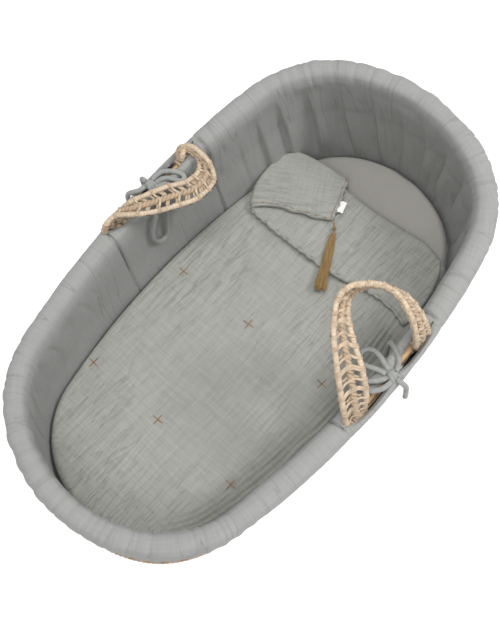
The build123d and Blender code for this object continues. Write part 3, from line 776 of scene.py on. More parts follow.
def wall():
    """Rows of twisted palm rope with slanting strands between them."""
    soup = Soup()
    lengths = np.arange(0, RIM.total, 0.004)
    for row in range(WALL_ROWS + 1):
        ring, _ = wall_ring(row / WALL_ROWS, lengths)
        wobble = 0.0006 * noise(lengths * 40, row + 0 * lengths, 51)
        ring[:, 2] += wobble * (0 < row < WALL_ROWS)
        twisted_rope(soup, ring, ROPE_RADIUS, 0.017, closed=True)
    for row in range(WALL_ROWS):
        if row / WALL_ROWS > 0.72:
            break
        low, high = row / WALL_ROWS, (row + 1) / WALL_ROWS
        spots = np.arange(0, RIM.total, 0.0135)
        slant = 0.007 if row % 2 else -0.007
        for i, spot in enumerate(spots):
            jitter = 0.0012 * (hashed(float(i), float(row), 53) - 0.5)
            ends = []
            for share, shift in ((low, 0.0), (0.5 * (low + high), slant / 2), (high, slant)):
                point, angle = wall_ring(share, np.array([spot + shift + jitter]))
                outward = 0.0012 if share not in (low, high) else 0.0020
                point[0, :2] += outward * np.array([np.cos(angle[0]), np.sin(angle[0])])
                ends.append(point[0])
            flat = np.array([np.cos(angle[0]), np.sin(angle[0]), 0.0])
            soup.tube(np.array(ends), 0.0021, sides=6, squash=0.45, normal=flat, caps=False)
    dress(soup.build("woven_wall", PALM), "basket", "palm_weave",
          "wall_foot", "wall_head", "wall_left", "wall_right")


def border():
    """The thick bound edge that the basket stands on."""
    soup = Soup()
    lengths = np.arange(0, RIM.total, 0.0032)
    angle = RIM.angles(lengths)
    for offset, height, radius in ((-0.0005, 0.0042, 0.0040), (-0.0012, 0.0098, 0.0027)):
        x, y = oval_point(angle, height, offset)
        ring = np.stack([x, y, np.full_like(x, height)], -1)
        twisted_rope(soup, ring, radius, 0.015, depth=0.13, closed=True)
    dress(soup.build("woven_border", PALM), "basket", "palm_weave", "base_border")


def base():
    """Lengthwise ropes of the base with strands laid across them."""
    soup = Soup()
    outline_angle = np.linspace(-np.pi, np.pi, 2001)
    outline_x, outline_y = oval_point(outline_angle, 0.004, -0.0075)
    quarter = (outline_y >= 0) & (outline_x > 0)
    order = np.argsort(outline_y[quarter])
    edge_y, edge_x = outline_y[quarter][order], outline_x[quarter][order]
    for i, y in enumerate(np.arange(-0.1950, 0.1951, 0.0130)):
        reach = float(np.interp(abs(y), edge_y, edge_x)) - 0.004
        run = np.arange(-reach, reach, 0.006)
        line = np.stack([run, np.full_like(run, y), np.full_like(run, 0.0044)], -1)
        line[:, 1] += 0.0005 * noise(run * 30, i + 0 * run, 61)
        twisted_rope(soup, line, 0.0030, 0.019, sides=6)
    for i, x in enumerate(np.arange(-0.39, 0.391, 0.020)):
        reach = float(np.interp(abs(x), edge_x[::-1], edge_y[::-1])) - 0.004
        run = np.arange(-reach, reach, 0.0065)
        swing = np.where(np.arange(len(run)) % 2 == 0, 1, -1)
        line = np.stack([x + 0.003 * swing, run, 0.0044 + 0.0014 * swing], -1)
        if len(line) > 3:
            soup.tube(line, 0.0021, sides=5, squash=0.5, normal=np.array([0, 0, 1.0]), caps=False)
    dress(soup.build("woven_base", PALM), "basket", "palm_weave", "base_mat")


def cane_line(side):
    """The straight cane in one slit: its two ends."""
    low, high = (Vector(c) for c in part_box(f"rim_cane_{side}"))
    radius = 0.005
    sign = 1 if side == "left" else -1
    y_foot, y_head = 0.235662 * sign, 0.233333 * sign
    return (np.array([low.x, y_foot, low.z + radius]), np.array([high.x, y_head, high.z - radius]))


def wrapped_cane(soup, path, radius, pitch, seed):
    """A cane bound round with flat straw: each turn is a slightly proud band."""
    path = np.asarray(path)
    step = np.concatenate([[0], np.cumsum(np.linalg.norm(np.diff(path, axis=0), axis=1))])
    run = np.arange(0, step[-1], pitch / 5)
    fine = np.stack([np.interp(run, step, path[:, i]) for i in range(3)], -1)
    first = len(soup.verts)
    ids = soup.tube(fine, radius, sides=12)
    points = soup.verts[first].reshape(ids.shape[0], 12, 3)
    centre = points.mean(1, keepdims=True)
    turn = np.linspace(0, 1, 12, endpoint=False)
    place = run[:, None] / pitch + turn[None, :]
    within = place - np.floor(place)
    band = hashed(np.floor(place), 0 * place, seed)
    grow = 1 + 0.10 * np.sin(np.pi * within) ** 0.4 + 0.06 * (band - 0.5)
    soup.verts[first] = (centre + (points - centre) * grow[..., None]).reshape(-1, 3)


def rim():
    """The cane inside the roll, bound with straw where the slits show it."""
    hidden, shown = Soup(), Soup()
    for side, sign in (("left", 1), ("right", -1)):
        foot, head = cane_line(side)
        share = np.linspace(-0.03, 1.03, 80)[:, None]
        wrapped_cane(shown, foot + (head - foot) * share, 0.0038, 0.0052, 71 + sign)
    spans = ((RIM.where_x(0.139, -1), RIM.where_x(0.139, 1)),
             (RIM.where_x(-0.069, 1), RIM.where_x(-0.069, -1) + RIM.total))
    for low, high in spans:
        angle = RIM.angles(np.arange(low, high, 0.004))
        rim_x, _ = oval_point(angle, 0.2, 0)
        height = rim_height(rim_x) - CANE_DROP
        x, y = oval_point(angle, height, -CANE_INSET)
        twisted_rope(hidden, np.stack([x, y, height], -1), 0.0038, 0.03, depth=0.06)
    dress(hidden.build("rim_hoop_cane", CANE_STRAW), "basket", "rim_cane", "rim_hoop")
    dress(shown.build("rim_slit_canes", CANE_STRAW), "basket", "rim_cane",
          "rim_cane_left", "rim_cane_right")


wall()
border()
base()
rim()


# ---------------------------------------------------------------- handles
# Each handle's two edge ropes from the foot to the head: (along the cane, inwards, upwards), mm
# from the middle of its cane. These numbers began as the output of a separate fitting program
# and were then adjusted. They don't follow the CAD handles, which are plain rigid arches.
HANDLES = {
    "right": {
        "outer": ((-95, -4, 2), (-80, 15, 52), (-54, 43, 88), (-27, 70, 105), (-3, 89, 112),
                  (21, 100, 117), (42, 96, 121), (63, 75, 121), (72, 55, 116), (72, 35, 108),
                  (62, 8, 92), (54, -6, 56), (56, -4, 6)),
        "inner": ((-60, -4, 2), (-47, 1, 48), (-26, 26, 78), (-5, 57, 83), (13, 79, 84),
                  (30, 93, 84), (48, 94, 88), (70, 82, 88), (81, 61, 84), (88, 39, 78),
                  (84, 12, 70), (80, -4, 44), (84, -5, 4))},
    "left": {
        "outer": ((-104, -8, 3), (-97, 0, 36), (-76, 5, 44), (-58, 28, 50), (-32, 42, 34),
                  (0, 54, 18), (33, 68, 10), (66, 70, 12), (81, 56, 18), (87, 34, 24),
                  (87, 7, 26), (77, -12, 14), (66, -12, -1)),
        "inner": ((-72, -6, 3), (-72, 2, 26), (-63, -7, 22), (-44, 4, 38), (-18, 12, 32),
                  (12, 24, 26), (40, 36, 14), (64, 38, 10), (79, 28, 10), (83, 15, 16),
                  (80, -2, 17), (71, 2, 20), (63, 4, 10))},
}
EDGE_ROPE, LADDER_PITCH, KNIT_PITCH = 0.0041, 0.0160, 0.0082


class Band:
    """The middle line of a handle, with directions across it and off its face."""

    def __init__(self, origin, axes, outer, inner):
        outer, inner = (origin + np.array(e) * MM @ axes for e in (outer, inner))
        outer, inner = through(outer, 10), through(inner, 10)
        middle = (outer + inner) / 2
        run = np.concatenate([[0], np.cumsum(np.linalg.norm(np.diff(middle, axis=0), axis=1))])
        self.length = run[-1]
        self.run = np.arange(0, self.length, 0.0012)
        self.middle, self.outer, self.inner = (
            np.stack([np.interp(self.run, run, line[:, i]) for i in range(3)], -1)
            for line in (middle, outer, inner))
        across = self.outer - self.inner
        self.half = np.linalg.norm(across, axis=1) / 2
        self.across = across / (2 * self.half[:, None])
        tangent = np.gradient(self.middle, axis=0)
        tangent /= np.linalg.norm(tangent, axis=1)[:, None]
        face = np.cross(tangent, self.across)
        self.face = face / np.linalg.norm(face, axis=1)[:, None]

    def at(self, along, over, off):
        """Points at distances along the band, across it (-1 to 1 is edge to edge) and off it."""
        along, over, off = np.broadcast_arrays(np.asarray(along, float), over, off)
        pick = [np.stack([np.interp(along, self.run, line[:, i]) for i in range(3)], -1)
                for line in (self.middle, self.across, self.face)]
        half = np.interp(along, self.run, self.half)
        return pick[0] + pick[1] * (over * half)[..., None] + pick[2] * off[..., None]


def bound_rope(soup, band, over, radius, seed, twist=0.0052):
    """An edge rope: core bound round with flat straw."""
    along = np.arange(0, band.length, twist / 5)
    path = band.at(along, over, 0.0004 * noise(along * 60, seed + 0 * along, 81))
    first = len(soup.verts)
    ids = soup.tube(path, radius, sides=12)
    points = soup.verts[first].reshape(ids.shape[0], 12, 3)
    centre = points.mean(1, keepdims=True)
    turn = np.linspace(0, 1, 12, endpoint=False)
    place = along[: ids.shape[0], None] / twist + turn[None, :] + 0.25 * noise(
        along[: ids.shape[0], None] * 50, 0 * turn[None, :], seed)
    within = place - np.floor(place)
    leaf = hashed(np.floor(place), 0 * place, seed)
    grow = 0.89 + 0.18 * np.sin(np.pi * within) ** 0.6 + 0.17 * (leaf - 0.5)
    soup.verts[first] = (centre + (points - centre) * grow[..., None]).reshape(-1, 3)


def plaited_rope(soup, band, seed):
    """The middle rope: two fat strands turning about each other."""
    along = np.arange(0, band.length, 0.0016)
    for ply in (0, 1):
        phase = 2 * np.pi * along / 0.0135 + ply * np.pi
        path = band.at(along, 0.150 * np.sin(phase), 0.0024 * np.cos(phase))
        width = 0.0030 * (1 + 0.10 * noise(along * 180, ply + 0 * along, seed))
        soup.tube(path, width, sides=8)


def ladder(soup, band, side, seed):
    """Slanting strands from an edge rope to the middle rope: open at first, then a close knit."""
    along = 0.012
    rung = 0
    while along < band.length - 0.014:
        close = smooth_step(np.float64(along / band.length), 0.50, 0.62)
        pitch = LADDER_PITCH * (1 - close) + KNIT_PITCH * close
        for strand in range(2):
            jitter = (hashed(float(rung), float(strand), seed) - 0.5) * 0.0016
            start = along + strand * 0.0030 + jitter
            lean = pitch * 0.52
            lift = 0.0036 + 0.0006 * strand
            spots = ((0.0, 1.22, 0.0002), (0.07, 1.12, lift * 0.9), (0.18, 0.90, lift * 1.05),
                     (0.38, 0.66, lift * 0.5), (0.60, 0.46, 0.0012), (0.80, 0.28, 0.0024),
                     (0.93, 0.12, lift), (1.0, 0.0, lift * 0.9))
            points = through(spots, 3)
            flip = 1 if (rung + strand) % 2 == 0 else -1
            path = band.at(start + lean * points[:, 0], side * points[:, 1], flip * points[:, 2]
                           if strand else points[:, 2])
            face = band.at(start + lean * points[:, 0], side * points[:, 1], 1.0) - band.at(
                start + lean * points[:, 0], side * points[:, 1], 0.0)
            width = 0.0027 - 0.0007 * np.sin(np.pi * points[:, 0])
            soup.tube(path, width, sides=8, squash=0.62, normal=face, caps=False)
        along += pitch
        rung += 1


def sleeve_wraps(soup, origin, axes, middle, reach, seed):
    """Straw wound round the cane where the band joins it."""
    turns = int(2 * reach / 0.0040)
    for i in range(turns):
        spot = middle - reach + (i + 0.5) * 2 * reach / turns
        tilt = 0.0022 * (hashed(float(i), 1.0, seed) - 0.5) * 2
        radius = 0.0068 + 0.0012 * hashed(float(i), 2.0, seed)
        turn = np.linspace(0, 2 * np.pi, 18, endpoint=False)
        ring = np.stack([spot + tilt * np.sin(turn), radius * np.cos(turn), radius * np.sin(turn)], -1)
        soup.tube(origin + ring @ axes, 0.0025, sides=7, closed=True)


def handle(side):
    """One plaited straw handle: three ropes, the strands between them and its two sleeves."""
    foot, head = cane_line(side)
    origin = (foot + head) / 2
    along = (head - foot) / np.linalg.norm(head - foot)
    inwards = np.array([0, -1.0 if side == "left" else 1.0, 0])
    inwards -= along * (inwards @ along)
    inwards /= np.linalg.norm(inwards)
    upwards = np.cross(along, inwards)
    upwards *= np.sign(upwards[2])
    axes = np.array([along, inwards, upwards])
    band = Band(origin, axes, HANDLES[side]["outer"], HANDLES[side]["inner"])
    seed = 91 if side == "left" else 97
    name = f"handle_{side}"
    edges, middle, rungs, sleeves = Soup(), Soup(), Soup(), Soup()
    for over, number in ((1.0, 1), (-1.0, 2)):
        bound_rope(edges, band, over, EDGE_ROPE, seed + number)
    plaited_rope(middle, band, seed)
    for sign in (1, -1):
        ladder(rungs, band, sign, seed + sign)
    for spot, number in ((-0.078, 3), (0.076, 4)):
        sleeve_wraps(sleeves, origin, axes, spot, 0.0215, seed + number)
    dress(edges.build(f"{name}_edge_ropes", HANDLE_STRAW), name, "handle_straw",
          f"{name}_outer_rope", f"{name}_inner_rope")
    dress(middle.build(f"{name}_middle_plait", HANDLE_STRAW), name, "handle_straw",
          f"{name}_centre_rope")
    dress(rungs.build(f"{name}_ladder", HANDLE_STRAW), name, "handle_straw",
          f"{name}_cross_strands")
    dress(sleeves.build(f"{name}_sleeve_wraps", HANDLE_STRAW), name, "handle_straw",
          f"{name}_foot_sleeve", f"{name}_head_sleeve")


handle("left")
handle("right")


def knot(side):
    """The bow's knot: cloth wound twice round, with its folds showing."""
    low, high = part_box(f"tie_{side}_knot")
    centre = np.array((Vector(low) + Vector(high)) / 2)
    soup = Soup()
    turn = np.linspace(0, 2 * np.pi, 40, endpoint=False)
    for i, (tilt, shift, size) in enumerate(((0.35, -0.0036, 0.0054), (-0.30, 0.0036, 0.0054),
                                             (0.05, 0.0, 0.0062))):
        ring = np.stack([shift + 0 * turn, size * np.cos(turn) * 1.05, size * np.sin(turn) * 0.62], -1)
        ring[:, 0] += tilt * ring[:, 1]
        width = 0.0032 * (1 + 0.12 * np.sin(3 * turn + i))
        soup.tube(centre + ring, float(np.mean(width)), sides=10, closed=True)
    across = np.linspace(-0.0075, 0.0075, 14)
    for tilt in (0.5, -0.5):
        path = np.stack([across, tilt * across, 0.0008 * np.cos(across * 300)], -1)
        soup.tube(centre + path, 0.0036, sides=10)
    dress(soup.build(f"tie_{side}_knot_cloth", TIE_CLOTH), "basket", "tie_fabric",
          f"tie_{side}_knot")


knot("left")
knot("right")


# ---------------------------------------------------------------- bedding
SHEET_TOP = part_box("mattress_sheet")[1].z
BEDDING_INSET = -0.0172
QUILT_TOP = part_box("quilt_panel")[1].z
FOLD_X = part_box("quilt_turndown")[1].x
CROSS_COLUMNS, CROSS_ROWS = (-0.213, 0.002), (-0.140, 0.018, 0.166)


def bedding_edge(x, inset, height=0.03):
    """Half the bedding's width at x."""
    angle = np.linspace(0, np.pi, 3001)
    ox, oy = oval_point(angle, height, inset)
    order = np.argsort(ox)
    return np.interp(x, ox[order], oy[order], left=0.0, right=0.0), ox.min(), ox.max()


def edge_distance(x, y, inset, height=0.03):
    """Rough distance of points inside the bedding's outline from its edge."""
    half, low, high = bedding_edge(x, inset, height)
    ahead, _, _ = bedding_edge(x + 0.002, inset, height)
    slope = (ahead - half) / 0.002
    sideways = (half - np.abs(y)) / np.sqrt(1 + np.clip(slope, -30, 30) ** 2)
    return np.maximum(np.minimum(sideways, np.minimum(x - low, high - x)), 0)


def rounded(distance, radius):
    """Height share of a rounded edge: 0 at the edge, 1 from radius inwards."""
    t = np.clip(distance / radius, 0, 1)
    return np.sqrt(np.maximum(1 - (1 - t) ** 2, 0))


def pad_grid(x_low, x_high, inset, step, height=0.03):
    """A grid over the bedding's outline, even in x with rows gathered at the rounded ends."""
    _, low, high = bedding_edge(np.array([0.0]), inset, height)
    turn = np.linspace(0, np.pi, int((high - low) / step))
    even = np.linspace(low, high, len(turn))
    round_ends = (low + high) / 2 - (high - low) / 2 * np.cos(turn)
    x = 0.55 * even + 0.45 * round_ends
    x = np.concatenate([[max(low, x_low)], x[(x > x_low + step / 2) & (x < x_high - step / 2)],
                        [min(high, x_high)]])
    half, _, _ = bedding_edge(x, inset, height)
    across = np.linspace(-1, 1, int(2 * half.max() / step))
    return np.broadcast_to(x[None, :], (len(across), len(x))), across[:, None] * half[None, :]


def closed_pad(name, top, under, material):
    """A pad from a top grid and an under grid that share their edge."""
    soup = Soup()
    soup.grid(top, top[..., 0], top[..., 1])
    soup.grid(under, under[..., 0], under[..., 1], flip=True)
    piece = soup.build(name, material)
    weld = piece.modifiers.new("weld", "WELD")
    weld.merge_threshold = 0.00001
    return piece


def mattress():
    """The foam core in its fitted sheet: crowned, round-edged, smooth."""
    x, y = pad_grid(-1, 1, BEDDING_INSET, 0.004)
    edge = edge_distance(x, y, BEDDING_INSET)
    bottom, top = 0.0092, SHEET_TOP
    crown = rounded(edge, 0.014)
    lumps = 0.0007 * noise(x * 14, y * 14, 101) * smooth_step(edge, 0, 0.03)
    pulls = 0.0005 * ridges(x * 40, y * 9, 103) * bump(edge, 0.012, 0.012)
    high = bottom + 0.012 + (top - bottom - 0.012) * crown + lumps - pulls
    low = bottom + 0.012 - 0.012 * crown
    piece = closed_pad("mattress_cover", np.stack([x, y, high], -1), np.stack([x, y, low], -1),
                       SHEET_CLOTH)
    dress(piece, "mattress", "sheet_jersey", "mattress_sheet", "mattress_core")


def crinkle(x, y, seed):
    """Double muslin: long creases lengthwise, short ones across, and a soft quilted grid."""
    wander = 0.5 * noise(x * 7, y * 16, seed)
    long_crease = ridges(x * 8 + 3.1 * noise(x * 4, y * 40, seed + 1), y * 165 + wander * 2.2, seed + 2)
    patchy = smooth_step(noise(x * 7, y * 13, seed + 3), -0.25, 0.55)
    cross_crease = ridges(x * 120 + 0.8 * noise(x * 9, y * 20, seed + 4), y * 12, seed + 5)
    cross_patch = smooth_step(noise(x * 9, y * 9, seed + 6), 0.1, 0.7)
    grid = noise(x * 210, y * 40, seed + 7) + noise(x * 40, y * 210, seed + 8)
    swell = noise(x * 26, y * 44, seed + 9)
    return (-0.0007 * long_crease * (0.2 + 0.8 * patchy) - 0.0008 * cross_crease * cross_patch
            + 0.00034 * grid + 0.0011 * swell)


def wall_folds(x, y, edge):
    """Deep folds lengthwise where the quilt is pushed up against the basket's right side."""
    right = smooth_step(-y, 0.075, 0.140) * smooth_step(x, -0.37, -0.24)
    right = right * (1 - smooth_step(x, 0.12, 0.20))
    near = bump(edge, 0.030, 0.026)
    place = edge * 112 + 0.6 * noise(x * 7, 0 * x, 111) + 0.25 * noise(x * 20, edge * 60, 112)
    wave = 1 - 2.0 * np.abs(np.sin(np.pi * place)) ** 0.6
    return -right * near * 0.0080 * wave * (0.65 + 0.35 * noise(x * 12, edge * 30, 113))


PANEL_INSET = -0.0185
PANEL_MIDDLE = SHEET_TOP + 0.004


def panel_top(x, y):
    """Height of the quilt's upper face."""
    edge = edge_distance(x, y, PANEL_INSET, 0.055)
    crown = rounded(edge, 0.013)
    high = PANEL_MIDDLE + (QUILT_TOP - 0.0015 - PANEL_MIDDLE) * crown
    high = high + 0.0022 * smooth_step(edge, 0.0, 0.05)
    tack = np.zeros_like(x)
    for cx in CROSS_COLUMNS:
        for cy in CROSS_ROWS:
            gap = np.hypot(x - cx, y - cy)
            tack += np.exp(-((gap / 0.016) ** 2)) * 0.0026 + np.exp(-((gap / 0.05) ** 2)) * 0.0012
    inner = smooth_step(edge, 0.0, 0.012)
    high = high - tack * inner + crinkle(x, y, 120) * (0.4 + 0.6 * inner) + wall_folds(x, y, edge)
    foot = smooth_step(-x, 0.27, 0.36) * bump(edge, 0.012, 0.014)
    return high + foot * 0.0011 * np.sin(2 * np.pi * (np.arctan2(y, -x - 0.2) * 26
                                                      + noise(y * 30, x * 10, 131)))


def quilt_panel():
    """The crinkled quilt over the mattress, tacked down at its cross stitches."""
    x, y = pad_grid(-1, FOLD_X - 0.006, PANEL_INSET, 0.0022, 0.055)
    high = panel_top(x, y)
    crown = rounded(edge_distance(x, y, PANEL_INSET, 0.055), 0.013)
    low = SHEET_TOP + 0.0006 + (PANEL_MIDDLE - SHEET_TOP - 0.0006) * (1 - crown)
    piece = closed_pad("quilt_panel_cloth", np.stack([x, y, high], -1), np.stack([x, y, low], -1),
                       QUILT_CLOTH)
    dress(piece, "quilt", "quilt_muslin", "quilt_panel")


class Patch:
    """A folded-back piece of the quilt between four plan curves (millimetres).

    bottom and top run from left to right, left and right run from bottom to top. Each side is a
    fold, rounded down to a middle height, or a free hem, thin and rippled."""

    def __init__(self, bottom, top, left, right, low, high, folds, seed, material):
        self.sides = [self.evenly(np.array(c, float) * MM) for c in (bottom, top, left, right)]
        self.low, self.high, self.folds, self.seed = low, high, folds, seed
        self.material = material

    @staticmethod
    def evenly(points):
        fine = through(points, 16)
        run = np.concatenate([[0], np.cumsum(np.linalg.norm(np.diff(fine, axis=0), axis=1))])
        return fine, run / run[-1]

    def side(self, number, share):
        fine, run = self.sides[number]
        return np.stack([np.interp(share, run, fine[:, i]) for i in range(2)], -1)

    def plan(self, u, v):
        u, v = np.broadcast_arrays(np.asarray(u, float), v)
        bottom, top = self.side(0, u), self.side(1, u)
        left, right = self.side(2, v), self.side(3, v)
        uu, vv = u[..., None], v[..., None]
        corner = [self.side(i, np.array(k)) for i, k in ((0, 0.0), (0, 1.0), (1, 0.0), (1, 1.0))]
        flat = ((1 - vv) * bottom + vv * top + (1 - uu) * left + uu * right
                - (1 - uu) * (1 - vv) * corner[0] - uu * (1 - vv) * corner[1]
                - (1 - uu) * vv * corner[2] - uu * vv * corner[3])
        wide = np.linalg.norm(right - left, axis=-1)
        tall = np.linalg.norm(top - bottom, axis=-1)
        return flat, {"left": u * wide, "right": (1 - u) * wide, "bottom": v * tall,
                      "top": (1 - v) * tall}

    def outward(self, side, u, v):
        """Unit vectors in the plane pointing out over a side."""
        u, v = np.broadcast_arrays(np.asarray(u, float), v)
        way = {"bottom": self.side(0, u) - self.side(1, u),
               "right": self.side(3, v) - self.side(2, v)}
        return way[side] / np.linalg.norm(way[side], axis=-1, keepdims=True)

    def faces(self, u, v):
        """Upper and lower points."""
        flat, gaps = self.plan(u, v)
        x, y = flat[..., 0], flat[..., 1]
        share = np.ones_like(x)
        middle = np.full_like(x, (self.low + self.high) / 2)
        low = np.full_like(x, self.low)
        ripple = np.zeros_like(x)
        for side, gap in gaps.items():
            if side in self.folds:
                radius, depth = self.folds[side]
                share = np.minimum(share, rounded(gap, radius))
                near = 1 - smooth_step(gap, 0, 2.2 * radius)
                middle -= (middle - (self.high + depth) / 2) * near
                low -= (low - depth) * near
            else:
                share = np.minimum(share, rounded(gap, 0.0034))
                run = x * 1.1 + y * 0.9
                wave = np.sin(2 * np.pi * (run * 46 + 0.9 * noise(run * 22, 0 * run, self.seed)))
                ripple += (0.0017 * wave + 0.0032) * np.exp(-gap / 0.010)
                out = self.outward(side, u, v)
                place = run * 61 + noise(run * 25, 0 * run, self.seed + 3)
                scallop = 0.0011 * np.sin(2 * np.pi * place)
                flat = flat + out * (scallop * np.exp(-gap / 0.007))[..., None]
                # The hem is turned under twice, so it's a little thicker than the cloth inside.
                ripple += 0.0008 * bump(gap, 0.0030, 0.0022) - 0.0007 * bump(gap, 0.0068, 0.0016)
        texture = 0.75 * crinkle(x * 0.8 + y * 0.6, y * 0.8 - x * 0.6, self.seed + 40) \
            if self.seed % 2 else 0.8 * crinkle(x, y, self.seed + 40)
        high = middle + (self.high - middle) * share + ripple + texture * share
        x, y = flat[..., 0], flat[..., 1]
        under = middle - (middle - low) * share + ripple * (1 - np.minimum(share, 1) * 0.3)
        return (np.stack([x, y, high], -1), np.stack([x, y, np.minimum(under, high)], -1))

    def surface(self, u, v, lift=0.0):
        return self.faces(np.asarray(u, float), np.asarray(v, float))[0] + np.array([0, 0, lift])

    def build(self, name, columns, rows):
        u = np.linspace(0, 1, columns)[None, :]
        v = np.linspace(0, 1, rows)[:, None]
        # Finer near the sides, where the rounding is.
        u = u - 0.10 * np.sin(2 * np.pi * u) / (2 * np.pi) * 4
        v = v - 0.10 * np.sin(2 * np.pi * v) / (2 * np.pi) * 4
        high, under = self.faces(u, v)
        return closed_pad(name, high[:, ::-1], under[:, ::-1], self.material)


# Most points of these two outlines lie within a few millimetres of ones that a separate
# program projected onto the quilt's height.
TURNDOWN = Patch(
    bottom=((156, 151), (153, 104), (152, 54), (153, -3), (159, -59), (168, -101), (169, -138),
            (163, -166), (158, -178)),
    top=((297, 160), (303, 130), (303, 96), (298, 47), (297, -17), (302, -82), (303, -117),
         (294, -152)),
    left=((156, 151), (172, 164), (203, 180), (243, 185), (276, 180), (297, 160)),
    right=((158, -178), (182, -181), (208, -180), (242, -175), (272, -166), (294, -152)),
    low=QUILT_TOP + 0.0012, high=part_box("quilt_turndown")[1].z + 0.0008,
    folds={"top": (0.013, SHEET_TOP + 0.0015), "left": (0.007, SHEET_TOP + 0.008),
           "right": (0.007, QUILT_TOP - 0.006)}, seed=200, material=QUILT_CLOTH)
FLAP = Patch(
    bottom=((159, 154), (176, 139), (187, 120), (199, 94), (212, 62), (228, 28)),
    top=((299, 163), (305, 137), (309, 102), (310, 78), (308, 58)),
    left=((159, 154), (172, 167), (203, 182), (243, 187), (276, 182), (299, 163)),
    right=((228, 28), (247, 35), (266, 41), (287, 51), (308, 58)),
    low=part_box("quilt_corner_flap")[0].z + 0.0012, high=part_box("quilt_corner_flap")[1].z + 0.0006,
    folds={"top": (0.009, QUILT_TOP - 0.002), "left": (0.009, QUILT_TOP - 0.006)},
    seed=211, material=CORNER_CLOTH)


# Roughly how far each patch runs, to turn an inset in metres into a share of it.
PATCH_DEPTH = 0.13


def stitch(soup, points, radius=0.0007):
    """One stitch: a short thread that dives into the cloth at both ends."""
    points = np.array(points)
    dive = np.array([0, 0, 0.0012])
    path = np.concatenate([[points[0] - dive], points, [points[-1] - dive]])
    soup.tube(through(path, 3), radius, sides=6)


def running_stitches(soup, patch, side, spacing, inset):
    """Running stitches along a free hem."""
    number = {"bottom": 0, "right": 3}[side]
    fine, _ = patch.sides[number]
    length = np.sum(np.linalg.norm(np.diff(fine, axis=0), axis=1))
    spot, count = 0.006, 0
    while spot < length - 0.008:
        jitter = (hashed(float(count), float(number), patch.seed) - 0.5) * 0.3
        long = 0.0056 * (1 + 0.5 * jitter)
        share = (spot + np.linspace(0, long, 4)) / length
        other = inset / PATCH_DEPTH
        if side == "bottom":
            points = patch.surface(share, np.full(4, other), 0.0003)
        else:
            points = patch.surface(np.full(4, 1 - other), share, 0.0003)
        stitch(soup, points)
        spot += spacing * (1 + jitter)
        count += 1


def quilt_top():
    """The turned-down band, its folded corner, and all the ochre stitching."""
    patches = ((TURNDOWN, "quilt_turndown_cloth", "quilt_turndown", (190, 84)),
               (FLAP, "quilt_corner_cloth", "quilt_corner_flap", (90, 96)))
    for patch, name, node_name, size in patches:
        piece = patch.build(name, *size)
        dress(piece, "quilt", "quilt_muslin", node_name)
    hems = Soup()
    running_stitches(hems, TURNDOWN, "bottom", 0.026, 0.0046)
    running_stitches(hems, FLAP, "bottom", 0.0135, 0.0044)
    running_stitches(hems, FLAP, "right", 0.0135, 0.0044)
    dress(hems.build("hem_stitches", OCHRE), "quilt", "ochre_thread")
    crosses = Soup()
    for i, cx in enumerate(CROSS_COLUMNS):
        for j, cy in enumerate(CROSS_ROWS):
            turn = 0.16 * (hashed(float(i), float(j), 231) - 0.5)
            for quarter in (0, 1):
                angle = turn + quarter * np.pi / 2
                arm = np.linspace(-0.0094, 0.0094, 9)
                px, py = cx + arm * np.cos(angle), cy + arm * np.sin(angle)
                pz = panel_top(px, py) + 0.0005 + 0.0004 * quarter * bump(arm, 0, 0.002)
                stitch(crosses, np.stack([px, py, pz], -1), 0.00085)
    dress(crosses.build("cross_stitches", RUST), "quilt", "ochre_thread", "quilt_cross_stitches")


def label():
    """A blank folded tape at the corner's hem, with a sewn line across it."""
    start, end = FLAP.surface(0.985, 0.24), FLAP.surface(0.985, 0.52)
    along = (end - start)[:2] / np.linalg.norm((end - start)[:2])
    out = np.array([along[1], -along[0]])
    u, v = np.meshgrid(np.linspace(0, 1, 16), np.linspace(0, 1, 12))
    soup = Soup()
    layers = []
    for lift in (0.0010, 0.0):
        reach = v * 0.0145
        x = start[0] + along[0] * u * 0.022 + out[0] * (reach - 0.003)
        y = start[1] + along[1] * u * 0.022 + out[1] * (reach - 0.003)
        z = 0.0745 + 0.0022 * np.sin(v * 2.2) + 0.0005 * np.sin(u * 5)
        z = z + lift * np.sqrt(1 - v**2 * 0.98)
        z = z - 0.0002 * bump(v, 0.2, 0.04) * (lift > 0)
        layers.append(np.stack([x, y, z], -1))
    soup.grid(layers[0], u * 0.019, v * 0.011)
    soup.grid(layers[1], u * 0.019, v * 0.011, flip=True)
    rims = [np.concatenate([layer[0], layer[1:, -1], layer[-1, ::-1][1:], layer[::-1, 0][1:]])
            for layer in layers]
    soup.grid(np.stack(rims))
    tape = dress(soup.build("label_tape", LABEL_TAPE), "quilt", "label_tape", "quilt_label")


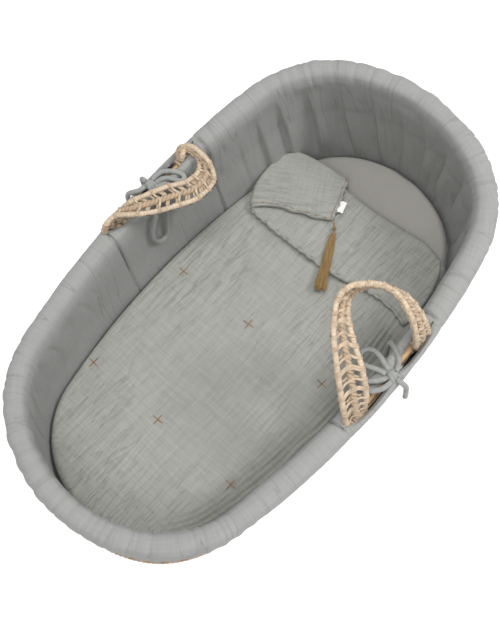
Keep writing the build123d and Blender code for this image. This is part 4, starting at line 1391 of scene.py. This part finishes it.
def tassel():
    """An ochre tassel: a loop, a bead-like knot, a bound neck and a skirt of threads."""
    pivot = np.array([0.227, 0.0245, 0.0752])
    bead, neck, tip = (np.array([0.2195, 0.0175, 0.0762]), np.array([0.2120, 0.0130, 0.0745]),
                       np.array([0.1205, -0.0345, 0.0728]))
    top, skirt = Soup(), Soup()
    cord = through([pivot + np.array([0.003, 0.004, 0.0012]), pivot + np.array([-0.001, 0, 0.0010]),
                    bead, neck], 6)
    for shift in (-0.0007, 0.0007):
        top.tube(cord + np.array([shift, -shift, 0]), 0.0006, sides=8)
    axis = (tip - neck) / np.linalg.norm(tip - neck)
    side = np.cross(axis, [0, 0, 1.0])
    side /= np.linalg.norm(side)
    above = np.cross(side, axis)
    for i in range(5):
        # The knot: five turns of thread, widest in the middle.
        turn = np.linspace(0, 2 * np.pi, 20, endpoint=False)
        size = 0.0027 * math.cos((i - 2) * 0.42)
        ring = bead + axis * (i - 2) * 0.0011 + size * (np.cos(turn)[:, None] * side
                                                       + np.sin(turn)[:, None] * above)
        top.tube(ring, 0.0008, sides=6, closed=True)
    for i in range(6):
        turn = np.linspace(0, 2 * np.pi, 22, endpoint=False)
        ring = neck + axis * (0.0010 + i * 0.0011) + 0.0034 * np.cos(turn)[:, None] * side \
            + 0.0028 * np.sin(turn)[:, None] * above
        top.tube(ring, 0.0007, sides=6, closed=True)
    share = np.linspace(0, 1, 20)
    for i in range(110):
        pick = [hashed(float(i), float(k), 241) for k in range(6)]
        across, depth = (pick[0] - 0.5) * 2, (pick[1] - 0.5) * 2
        depth *= math.sqrt(max(0.0, 1 - across**2 * 0.8))
        start = neck + side * across * 0.0034 + above * depth * 0.0024
        end = tip + side * across * 0.0102 + above * (depth * 0.0034 + 0.0004) \
            + axis * (pick[2] - 0.5) * 0.007
        spread = np.sin(np.pi * np.minimum(share * 1.5, 1))[:, None] * 0.0016
        path = start + (end - start) * share[:, None] + spread * across * side
        path = path + side * (0.0009 * noise(share * 5 + pick[3] * 9, 0 * share + i, 243))[:, None]
        path = path + above * (0.0006 * noise(share * 6 + pick[4] * 9, 0 * share + i, 245))[:, None]
        skirt.tube(path, 0.0006, sides=5)
    dress(top.build("tassel_knot_threads", OCHRE), "tassel", "ochre_thread", "tassel_knot",
          "tassel_cord")
    dress(skirt.build("tassel_skirt_threads", TASSEL_THREAD), "tassel", "ochre_thread", "tassel_skirt")


mattress()
quilt_panel()
quilt_top()
label()
tassel()
